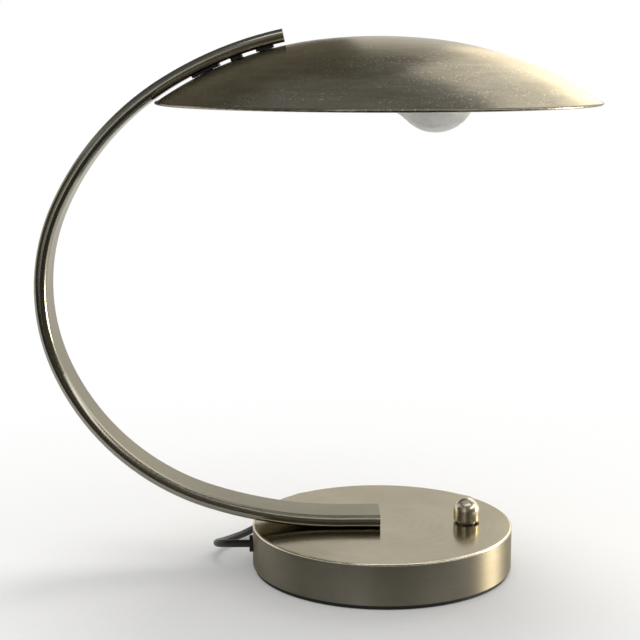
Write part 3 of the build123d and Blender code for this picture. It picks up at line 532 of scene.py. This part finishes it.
def spun_ring(place, radius, centre, axis, steps, stretch=(1, 1, 1), turned=(0, 0, 0)):
    """A ring: a circle in the plane of its axis, stretched to its section and spun once round."""
    deselect()
    bpy.ops.mesh.primitive_circle_add(vertices=SECTION_SIDES, radius=radius, location=place, rotation=turned)
    ring = bpy.context.active_object
    apply_place()
    edit(ring)
    bpy.ops.transform.resize(value=stretch, center_override=place)
    bpy.ops.mesh.spin(steps=steps, angle=2 * pi, center=centre, axis=axis)
    bpy.ops.mesh.select_all(action="SELECT")
    bpy.ops.mesh.remove_doubles(threshold=WELD)
    bpy.ops.mesh.normals_make_consistent(inside=False)
    bpy.ops.object.mode_set(mode="OBJECT")
    return ring


def level_bead(place, radius, centre_x):
    """A level bead round an upright axis."""
    upright = (pi / 2, 0, 0)
    return spun_ring(place, radius, (centre_x, 0, 0), axis=(0, 0, 1), steps=BEAD_STEPS, turned=upright)


class LAMP_OT_stage(bpy.types.Operator):
    """Adds the floor, the lights, the world and the camera"""

    bl_idname = "lamp.stage"
    bl_label = "Stage"

    def execute(self, context):
        settings = context.scene.lamp_stage
        context.scene.view_settings.view_transform = "Standard"
        self.add_floor(settings)
        self.add_lights(settings)
        self.add_cards()
        self.set_world(context.scene)
        self.add_camera(context.scene, settings)
        return {"FINISHED"}

    def add_floor(self, settings):
        deselect()
        bpy.ops.mesh.primitive_plane_add(size=FLOOR_SIZE, location=(0, 0, -FLOOR_DROP))
        floor = bpy.context.active_object
        apply_place()
        floor.name = "floor"
        material, tree, shader, place = start_material(
            "floor_paper", {"Roughness": 0.9, "Specular IOR Level": 0.1}
        )
        fibres = remap(tree, noise(tree, place, scale=220.0), (0.35, 0.65), (0.0, 1.0))
        paper = tuple(settings.floor_colour)
        tree.links.new(mix_colour(tree, fibres, paper, shaded(paper, 0.985)), shader.inputs["Base Color"])
        self.whiten(tree, shader, place)
        floor.data.materials.append(material)

    def whiten(self, tree, shader, place):
        """Where it is seen, straight or in metal and glass, the floor fades to white away from the lamp."""
        output = next(n for n in tree.nodes if n.type == "OUTPUT_MATERIAL")
        white = add_node(tree, "ShaderNodeEmission", sockets={"Color": (1, 1, 1, 1), "Strength": 1.0})
        away = add_node(tree, "ShaderNodeVectorMath", settings={"operation": "LENGTH"})
        tree.links.new(place, away.inputs[0])
        share = remap(tree, away.outputs["Value"], (FADE_START, FADE_END), (FADE_LEAST, 1.0))
        seen = add_node(tree, "ShaderNodeMath", settings={"operation": "MULTIPLY"})
        tree.links.new(seen_rays(tree), seen.inputs[0])
        tree.links.new(share, seen.inputs[1])
        mixer = add_node(tree, "ShaderNodeMixShader")
        tree.links.new(seen.outputs["Value"], mixer.inputs["Fac"])
        tree.links.new(shader.outputs["BSDF"], mixer.inputs[1])
        tree.links.new(white.outputs["Emission"], mixer.inputs[2])
        tree.links.new(mixer.outputs["Shader"], output.inputs["Surface"])

    def add_lights(self, settings):
        for light in LIGHTS:
            deselect()
            bpy.ops.object.light_add(type="AREA", location=light.place)
            lamp = bpy.context.active_object
            lamp.name = light.name
            lamp.data.shape = "RECTANGLE"
            lamp.data.size = light.width
            lamp.data.size_y = light.height
            lamp.data.energy = getattr(settings, light.power)
            lamp.data.color = light.colour
            lamp.visible_diffuse = light.lights
            lamp.visible_glossy = light.mirrors
            way = Vector(light.aim) - Vector(light.place)
            lamp.rotation_euler = way.to_track_quat("-Z", "Y").to_euler()

    def add_cards(self):
        """Dark cards outside the picture, for the dark side of the metal; the camera doesn't see them."""
        for card in CARDS:
            material, tree, shader, place = start_material(
                f"{card.name}_cloth", {"Roughness": 1.0, "Specular IOR Level": 0.0}
            )
            weave = mix_colour(tree, noise(tree, place, scale=90.0), card.colour, shaded(card.colour, 1.2))
            tree.links.new(weave, shader.inputs["Base Color"])
            flag = block_between(card.low, card.high)
            flag.name = card.name
            flag.data.materials.append(material)
            flag.visible_camera = False
            flag.visible_diffuse = False
            flag.visible_shadow = False

    def set_world(self, scene):
        """Pale all round at eye level, dim overhead, and even for what it lights."""
        world = bpy.data.worlds.new("studio")
        scene.world = world
        world.use_nodes = True
        tree = world.node_tree
        tree.nodes.clear()
        output = add_node(tree, "ShaderNodeOutputWorld")
        walls = add_node(tree, "ShaderNodeBackground", sockets={"Color": (1, 1, 1, 1)})
        even = add_node(
            tree, "ShaderNodeBackground", sockets={"Color": (1, 1, 1, 1), "Strength": EVEN_STRENGTH}
        )
        place = add_node(tree, "ShaderNodeTexCoord")
        parts = add_node(tree, "ShaderNodeSeparateXYZ")
        tree.links.new(place.outputs["Generated"], parts.inputs["Vector"])
        dimming = remap(tree, parts.outputs["Z"], (PALE_HEIGHT, DIM_HEIGHT), (1.0, DIM_STRENGTH))
        tree.links.new(dimming, walls.inputs["Strength"])
        mixer = add_node(tree, "ShaderNodeMixShader")
        tree.links.new(seen_rays(tree), mixer.inputs["Fac"])
        tree.links.new(even.outputs["Background"], mixer.inputs[1])
        tree.links.new(walls.outputs["Background"], mixer.inputs[2])
        tree.links.new(mixer.outputs["Shader"], output.inputs["Surface"])

    def add_camera(self, scene, settings):
        deselect()
        bpy.ops.object.camera_add(
            location=settings.camera_place, rotation=(settings.camera_tilt, 0, settings.camera_turn)
        )
        camera = bpy.context.active_object
        camera.name = "camera"
        camera.data.sensor_width = SENSOR_WIDTH_MM
        camera.data.lens = settings.camera_lens
        scene.camera = camera


class LAMP_OT_mains_lead(bpy.types.Operator):
    """Lays the mains lead and its tied hank, and finishes its tie, plug and grommet"""

    bl_idname = "lamp.mains_lead"
    bl_label = "Mains lead"

    def execute(self, context):
        settings = context.scene.lamp_lead
        colour = tuple(context.scene.lamp_finish.black_plastic)
        sheath = moulded_plastic("cord_sheath", colour, roughness=0.42, grain=2600.0, depth=0.12)
        lead = self.lay_lead(settings)
        lead.data.materials.append(sheath)
        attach(lead, "base")
        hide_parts("cord_lead", "cord_hank", "cord_tail")
        plastic = moulded_plastic("plug_plastic", colour, roughness=0.5, grain=2200.0, depth=0.3)
        rubber = moulded_plastic("tie_rubber", colour, roughness=0.6, grain=1500.0, depth=0.25)
        tie = self.fasten_tie(rubber)
        ribs = self.rib_plug(plastic)
        sleeves = self.sleeve_pins(plastic)
        dress(sheath, "cord_inner")
        dress(plastic, "plug_body")
        soft = moulded_plastic("grommet_rubber", colour, roughness=0.6, grain=1500.0, depth=0.25)
        dress(soft, "cord_grommet")
        dress(plain_metal("pin_nickel", colour=(0.7, 0.66, 0.55), roughness=0.25), "plug_pins")
        return {"FINISHED"}

    def fasten_tie(self, rubber):
        """The strap round the hank: its band with soft edges, a buckle on top and the tongue through it."""
        deselect()
        band = bpy.data.objects.new("band", nodes["cord_tie"].data.copy())
        bpy.context.scene.collection.objects.link(band)
        edit(band)
        bpy.ops.mesh.remove_doubles(threshold=WELD)
        bpy.ops.mesh.tris_convert_to_quads()
        bpy.ops.object.mode_set(mode="OBJECT")
        soften = band.modifiers.new("edges", "BEVEL")
        soften.width = TIE_BEVEL
        soften.segments = FINE_BEVEL_STEPS
        soften.limit_method = "ANGLE"
        soften.angle_limit = TIE_SHARP_ANGLE
        bpy.ops.object.modifier_apply(modifier=soften.name)
        low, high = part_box("cord_tie")
        seat = Vector(((low.x + high.x) / 2, (low.y + high.y) / 2 - BUCKLE_SETBACK, high.z))
        buckle = rounded_block(*(seat + corner for corner in BUCKLE_CORNERS), BUCKLE_BEVEL)
        self.sink_top(buckle, BUCKLE_FRAME, BUCKLE_SINK)
        tongue = rounded_block(*(seat + corner for corner in TONGUE_CORNERS), TONGUE_BEVEL)
        tie = settle(join([band, buckle, tongue]), "hank_tie", rubber, "base")
        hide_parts("cord_tie")
        return tie

    def sink_top(self, block, margin, depth):
        """Insets the top of a block and lowers it."""
        top = max(vertex.co.z for vertex in block.data.vertices)
        edit(block)
        bpy.ops.mesh.select_all(action="DESELECT")
        bpy.ops.object.mode_set(mode="OBJECT")
        for face in block.data.polygons:
            face.select = face.normal.z > LEVEL_NORMAL and face.center.z > top - LEVEL_PLAY
        bpy.ops.object.mode_set(mode="EDIT")
        bpy.ops.mesh.select_mode(type="FACE")
        bpy.ops.mesh.inset(thickness=margin, depth=-depth)
        bpy.ops.object.mode_set(mode="OBJECT")

    def rib_plug(self, plastic):
        """Finger ribs across the upper face of the plug, and the rings of its sleeve."""
        low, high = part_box("plug_body")
        x, z = (low.x + high.x) / 2, (low.z + high.z) / 2
        parts = []
        for row in range(RIB_COUNT):
            y = low.y + RIB_FIRST + RIB_PITCH * row
            rib_low = (x - RIB_LENGTH / 2, y - RIB_WIDTH / 2, high.z - RIB_SUNK)
            rib_high = (x + RIB_LENGTH / 2, y + RIB_WIDTH / 2, high.z + RIB_PROUD)
            parts.append(rounded_block(rib_low, rib_high, RIB_BEVEL))
        for ring in range(SLEEVE_RING_COUNT):
            from_end = SLEEVE_RING_FIRST + SLEEVE_RING_PITCH * ring
            centre = (x, high.y - from_end, z)
            reach = SLEEVE_END_RADIUS + SLEEVE_TAPER * from_end / PLUG_SLEEVE
            parts.append(
                spun_ring(
                    (x + reach, high.y - from_end, z),
                    SLEEVE_RING_RADIUS,
                    centre,
                    axis=(0, 1, 0),
                    steps=SLEEVE_RING_STEPS,
                    stretch=SLEEVE_RING_STRETCH,
                )
            )
        return settle(join(parts), "plug_ribs", plastic, "base")

    def sleeve_pins(self, plastic):
        """Insulating sleeves on the half of each pin next to the plug."""
        low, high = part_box("plug_pins")
        z = (low.z + high.z) / 2
        pin_radius = (high.z - low.z) / 2
        parts = []
        for x in (low.x + pin_radius, high.x - pin_radius):
            deselect()
            bpy.ops.mesh.primitive_cylinder_add(
                vertices=PIN_SLEEVE_SIDES,
                radius=pin_radius + PIN_SLEEVE_PROUD,
                depth=PIN_SLEEVE_LENGTH,
                end_fill_type="NOTHING",
                location=(x, high.y - PIN_SLEEVE_LENGTH / 2, z),
                rotation=(pi / 2, 0, 0),
            )
            sleeve = bpy.context.active_object
            wall = sleeve.modifiers.new("wall", "SOLIDIFY")
            wall.thickness = PIN_SLEEVE_WALL
            soften = sleeve.modifiers.new("edges", "BEVEL")
            soften.width = PIN_SLEEVE_BEVEL
            soften.segments = FINE_BEVEL_STEPS
            for modifier in (wall.name, soften.name):
                bpy.ops.object.modifier_apply(modifier=modifier)
            parts.append(sleeve)
        return settle(join(parts), "pin_sleeves", plastic, "base")

    def lay_lead(self, settings):
        points = LEAD_POINTS + self.hank_points(settings) + TAIL_POINTS
        data = bpy.data.curves.new("mains_lead", "CURVE")
        data.dimensions = "3D"
        spline = data.splines.new("NURBS")
        spline.points.add(len(points) - 1)
        for point, place in zip(spline.points, points):
            point.co = (*place, 1.0)
        spline.order_u = CURVE_ORDER
        spline.use_endpoint_u = True
        data.resolution_u = CURVE_STEPS
        data.bevel_depth = settings.cord_radius
        data.bevel_resolution = CURVE_SECTION_STEPS
        data.use_fill_caps = True
        lead = bpy.data.objects.new("mains_lead", data)
        bpy.context.scene.collection.objects.link(lead)
        return lead

    def hank_points(self, settings):
        """Control points of the hank: an upper layer winds in, and after a drop a lower one winds out."""
        middle = Vector(settings.hank_middle)
        points = []
        for turn in range(EIGHTHS_ALL // 8 + 1):
            for part, phase in enumerate(TURN_EIGHTHS):
                eighth = 8 * turn + phase
                if eighth > EIGHTHS_ALL - EIGHTHS_LEFT_OFF:
                    return points
                if eighth == EIGHTHS_IN:
                    points.append(HANK_DROP_POINT)
                    continue
                fold = settings.hank_fold_radius + settings.hank_pitch * abs(eighth - EIGHTHS_IN) / 8
                x, y = self.turn_points(settings, fold)[part]
                lower = eighth > EIGHTHS_IN
                back = settings.hank_layer_shift if lower else 0.0
                down = settings.hank_layer_step if lower else 0.0
                points.append((middle.x + x, middle.y + y + back, middle.z - down))
        return points

    def turn_points(self, settings, fold):
        """Points of one turn round the hank's middle, for a fold of this radius."""
        run = settings.hank_half_run
        short = tan(pi / 8) * fold
        waist = fold - settings.hank_draw
        return (
            (-run - fold, short),
            (-run - short, fold),
            (-run + short, fold),
            (0.0, waist),
            (run - short, fold),
            (run + short, fold),
            (run + fold, short),
            (run + fold, -short),
            (run + short, -fold),
            (run - short, -fold),
            (0.0, -waist),
            (-run + short, -fold),
            (-run - short, -fold),
            (-run - fold, -short),
        )


class LAMP_OT_base(bpy.types.Operator):
    """Finishes the drum base and the pieces inside it"""

    bl_idname = "lamp.base"
    bl_label = "Base"

    def execute(self, context):
        finish = context.scene.lamp_finish
        self.finish_cover(tuple(finish.nickel), tuple(finish.tarnish))
        pad = moulded_plastic(
            "pad_rubber", tuple(finish.black_plastic), roughness=0.75, grain=900.0, depth=0.6
        )
        dress(pad, "foot_pad")
        dress(plain_metal("cast_iron", colour=(0.09, 0.09, 0.09), roughness=0.6), "base_weight")
        zinc = plain_metal("zinc_plate", colour=(0.55, 0.55, 0.53), roughness=0.32)
        dress(zinc, "base_plate", "base_posts", "base_plate_screws", "cord_anchor_screws")
        nylon = moulded_plastic("nylon", colour=(0.7, 0.69, 0.64), roughness=0.45)
        dress(nylon, "cord_anchor", "terminal_block")
        return {"FINISHED"}

    def finish_cover(self, nickel, tarnish):
        """The nickel top; the wall in a darker copy of it, painted shade, with upright highlights; and a paler
        edge bead between them, a painted highlight.
        """
        top = brushed_metal(
            "drum_top_nickel",
            nickel,
            tarnish,
            stretch=(14, 14, 1100),
            roughness=0.15,
            turned_about=DRUM_X,
            patina=0.4,
            lines=0.05,
        )
        # Painted shade: the wall is the top's nickel and tarnish made darker, though it is the same metal.
        wall = brushed_metal(
            "drum_wall_nickel",
            shaded(nickel, WALL_SHADE_SHARE),
            shaded(tarnish, WALL_SHADE_SHARE),
            stretch=(9, 9, 1500),
            roughness=0.45,
            turned_about=DRUM_X,
            patina=0.5,
            grain=0.85,
        )
        # Painted highlight: the edge bead is the nickel made paler, for the bright line along the drum's rim.
        edge = brushed_metal(
            "drum_edge_nickel",
            shaded(nickel, EDGE_HIGHLIGHT_SHARE),
            shaded(tarnish, EDGE_HIGHLIGHT_SHARE),
            stretch=(14, 14, 1100),
            roughness=0.2,
            turned_about=DRUM_X,
        )
        dress(top, "base_cover")
        cover = nodes["base_cover"].data
        cover.materials.append(wall)
        wall_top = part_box("base_cover")[1].z - DRUM_EDGE
        for face in cover.polygons:
            if abs(face.normal.z) < UPRIGHT_NORMAL and face.center.z < wall_top:
                face.material_index = 1
        self.turn_edge(edge)

    def turn_edge(self, metal):
        """The bead that rounds the drum's upper edge, in a paler nickel as a painted highlight."""
        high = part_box("base_cover")[1]
        place = (high.x - DRUM_EDGE_RADIUS, 0, high.z - DRUM_EDGE_RADIUS)
        bead = level_bead(place, DRUM_EDGE_RADIUS + DRUM_EDGE_PROUD, DRUM_X)
        settle(bead, "drum_edge", metal, "base")


class LAMP_OT_arm(bpy.types.Operator):
    """Finishes the bent arm, its end plugs and the pieces that hold it"""

    bl_idname = "lamp.arm"
    bl_label = "Arm"

    def execute(self, context):
        finish = context.scene.lamp_finish
        # Painted shade: the arm is the base's nickel and tarnish made darker and a little cooler.
        tube = brushed_metal(
            "arm_nickel",
            shaded(tuple(finish.nickel), *ARM_SHADE_SHARES),
            shaded(tuple(finish.tarnish), *ARM_SHADE_SHARES),
            stretch=(5, 500, 5),
            roughness=0.2,
            patina=0.4,
            lines=0.02,
        )
        dress(tube, "arm_tube", "arm_foot_plug", "arm_top_plug")
        zinc = plain_metal("arm_zinc", colour=(0.52, 0.52, 0.5), roughness=0.34)
        dress(zinc, "arm_anchor_bar", "arm_foot_screws", "arm_foot_washers", "arm_nut_bar")
        return {"FINISHED"}


class LAMP_OT_slide(bpy.types.Operator):
    """Finishes the guide blocks and the clamp under the arm"""

    bl_idname = "lamp.slide"
    bl_label = "Slide"

    def execute(self, context):
        colour = tuple(context.scene.lamp_finish.black_plastic)
        black = moulded_plastic("guide_plastic", colour, roughness=0.5, grain=1600.0, depth=0.3)
        dress(black, "rear_guide_block", "centre_guide_block", "front_guide_block")
        zinc = plain_metal("clamp_zinc", colour=(0.56, 0.55, 0.52), roughness=0.3)
        dress(zinc, "clamp_studs", "clamp_plate", "spring_washers", "clamp_nuts")
        dress(zinc, "lampholder_bracket", "lampholder_nut")
        dress(moulded_plastic("bush_nylon", colour=(0.72, 0.71, 0.66), roughness=0.45), "slot_bushes")
        felt = moulded_plastic("liner_felt", colour=(0.06, 0.06, 0.06), roughness=0.95, grain=700.0, depth=0.9)
        dress(felt, "friction_liner")
        return {"FINISHED"}


class LAMP_OT_shade(bpy.types.Operator):
    """Finishes the dome shade, white inside, and the rail along its slot"""

    bl_idname = "lamp.shade"
    bl_label = "Shade"

    def execute(self, context):
        finish = context.scene.lamp_finish
        nickel, tarnish = tuple(finish.nickel), tuple(finish.tarnish)
        dome = spun_metal("shade_nickel", nickel, tarnish, roughness=0.23, turned_about=SHADE_AXIS_X)
        dress(dome, "shade_shell")
        shell = nodes["shade_shell"].data
        shell.materials.append(self.inside_lacquer(tuple(finish.lacquer)))
        self.paint_inside(shell)
        rail = brushed_metal("rail_nickel", nickel, tarnish, stretch=(8, 1300, 8), roughness=0.28)
        dress(rail, "shade_rail")
        # Painted shade: the hem is the dome's nickel and tarnish made darker, for the dark line along the rim.
        rim = brushed_metal(
            "rim_nickel",
            shaded(nickel, RIM_SHADE_SHARE),
            shaded(tarnish, RIM_SHADE_SHARE),
            stretch=(30, 30, 900),
            roughness=0.2,
            turned_about=SHADE_AXIS_X,
        )
        self.roll_rim(rim)
        return {"FINISHED"}

    def roll_rim(self, metal):
        """The rolled hem over the bead of the rim, finished darker than the dome as a painted line of shade.
        """
        low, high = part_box("shade_shell")
        rim_radius = (high.y - low.y) / 2
        place = (SHADE_AXIS_X + rim_radius - RIM_ROLL_RADIUS - RIM_PLAY, 0, low.z + RIM_BEAD_RADIUS)
        hem = level_bead(place, RIM_ROLL_RADIUS, SHADE_AXIS_X)
        settle(hem, "shade_hem", metal, "shade")

    def inside_lacquer(self, colour):
        material, tree, shader, place = start_material("inside_lacquer", {"Specular IOR Level": 0.5})
        age = noise(tree, place, scale=14.0, detail=5.0)
        peel = noise(tree, place, scale=700.0, detail=2.0)
        yellowed = shaded(colour, 1.0, 0.97, 0.88)
        toned = mix_colour(tree, remap(tree, age, (0.35, 0.7), (0.0, 1.0)), colour, yellowed)
        tree.links.new(toned, shader.inputs["Base Color"])
        tree.links.new(remap(tree, age, NOISE_SPAN, (0.38, 0.5)), shader.inputs["Roughness"])
        add_bump(tree, shader, peel, strength=0.15, distance=0.0001)
        return material

    def paint_inside(self, shell):
        """The second finish goes on the faces under the dome, up to its rolled rim."""
        low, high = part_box("shade_shell")
        inside = (high.x - low.x) / 2 - RIM_BEAD
        for face in shell.polygons:
            reach = Vector((face.center.x - SHADE_AXIS_X, face.center.y)).length
            if face.normal.z < UNDERSIDE_NORMAL and reach < inside:
                face.material_index = 1


class LAMP_OT_light(bpy.types.Operator):
    """Finishes the bulb and the lampholder"""

    bl_idname = "lamp.light"
    bl_label = "Bulb and holder"

    def execute(self, context):
        dress(self.frosted_glass(), "bulb_glass")
        dress(plain_metal("cap_aluminium", colour=(0.66, 0.65, 0.62), roughness=0.35), "bulb_cap")
        dress(moulded_plastic("cap_glass", colour=(0.02, 0.02, 0.025), roughness=0.2), "bulb_insulator")
        brass = plain_metal("contact_brass", colour=(0.62, 0.46, 0.2), roughness=0.3)
        dress(brass, "bulb_contact", "lampholder_contact", "lampholder_sleeve", "lampholder_nipple")
        bakelite = moulded_plastic(
            "holder_bakelite", colour=(0.018, 0.013, 0.01), roughness=0.3, grain=900.0, depth=0.1
        )
        dress(bakelite, "lampholder_shell")
        ceramic = moulded_plastic(
            "holder_ceramic", colour=(0.74, 0.73, 0.68), roughness=0.25, grain=500.0, depth=0.1
        )
        dress(ceramic, "lampholder_core")
        return {"FINISHED"}

    def frosted_glass(self):
        material, tree, shader, place = start_material(
            "bulb_frost",
            {
                "IOR": 1.45,
                "Transmission Weight": 0.45,
                "Subsurface Weight": 0.3,
                "Subsurface Radius": (0.01, 0.01, 0.01),
                "Subsurface Scale": 0.4,
            },
        )
        cloud = noise(tree, place, scale=45.0, detail=4.0)
        grain = noise(tree, place, scale=2500.0, detail=2.0)
        clear, milky = (0.84, 0.85, 0.83), (0.93, 0.93, 0.9)
        toned = mix_colour(tree, remap(tree, cloud, (0.35, 0.7), (0.0, 1.0)), milky, clear)
        tree.links.new(toned, shader.inputs["Base Color"])
        tree.links.new(remap(tree, cloud, NOISE_SPAN, (0.32, 0.45)), shader.inputs["Roughness"])
        add_bump(tree, shader, grain, strength=0.1, distance=0.00005)
        return material


class LAMP_OT_dimmer(bpy.types.Operator):
    """Finishes the knob and the dimmer under it"""

    bl_idname = "lamp.dimmer"
    bl_label = "Dimmer"

    def execute(self, context):
        finish = context.scene.lamp_finish
        nickel = tuple(finish.nickel)
        # Painted sheen: the knob is a paler copy of the nickel, with the plain nickel as its darker patches.
        cap = brushed_metal(
            "knob_nickel",
            shaded(nickel, KNOB_SHEEN_SHARE),
            nickel,
            stretch=(30, 30, 900),
            roughness=0.26,
            turned_about=KNOB_X,
        )
        dress(cap, "knob")
        zinc = plain_metal("dimmer_zinc", colour=(0.55, 0.54, 0.5), roughness=0.3)
        dress(zinc, "knob_grub_screw", "dimmer_shaft", "dimmer_washer", "dimmer_nut", "dimmer_bushing")
        dress(moulded_plastic("dimmer_plastic", tuple(finish.black_plastic), roughness=0.5), "dimmer_housing")
        return {"FINISHED"}


OPERATORS = (
    LAMP_OT_stage,
    LAMP_OT_mains_lead,
    LAMP_OT_base,
    LAMP_OT_arm,
    LAMP_OT_slide,
    LAMP_OT_shade,
    LAMP_OT_light,
    LAMP_OT_dimmer,
)
SETTINGS = (
    ("lamp_stage", LampStageSettings),
    ("lamp_finish", LampFinishSettings),
    ("lamp_lead", LampLeadSettings),
)


class LAMP_PT_panel(bpy.types.Panel):
    """Lists the steps that dress the lamp"""

    bl_idname = "LAMP_PT_panel"
    bl_label = "Arc table lamp"
    bl_space_type = "VIEW_3D"
    bl_region_type = "UI"
    bl_category = "Lamp"

    def draw(self, context):
        for operator in OPERATORS:
            self.layout.operator(operator.bl_idname)
        for name, group in SETTINGS:
            column = self.layout.column()
            for prop in group.__annotations__:
                column.prop(getattr(context.scene, name), prop)


def register():
    for name, group in SETTINGS:
        bpy.utils.register_class(group)
        setattr(bpy.types.Scene, name, bpy.props.PointerProperty(type=group))
    for made in (*OPERATORS, LAMP_PT_panel):
        bpy.utils.register_class(made)


def unregister():
    for made in (LAMP_PT_panel, *reversed(OPERATORS)):
        bpy.utils.unregister_class(made)
    for name, group in reversed(SETTINGS):
        delattr(bpy.types.Scene, name)
        bpy.utils.unregister_class(group)


def main():
    register()
    bpy.ops.lamp.stage()
    bpy.ops.lamp.mains_lead()
    bpy.ops.lamp.base()
    bpy.ops.lamp.arm()
    bpy.ops.lamp.slide()
    bpy.ops.lamp.shade()
    bpy.ops.lamp.light()
    bpy.ops.lamp.dimmer()


if __name__ == "__main__":
    main()
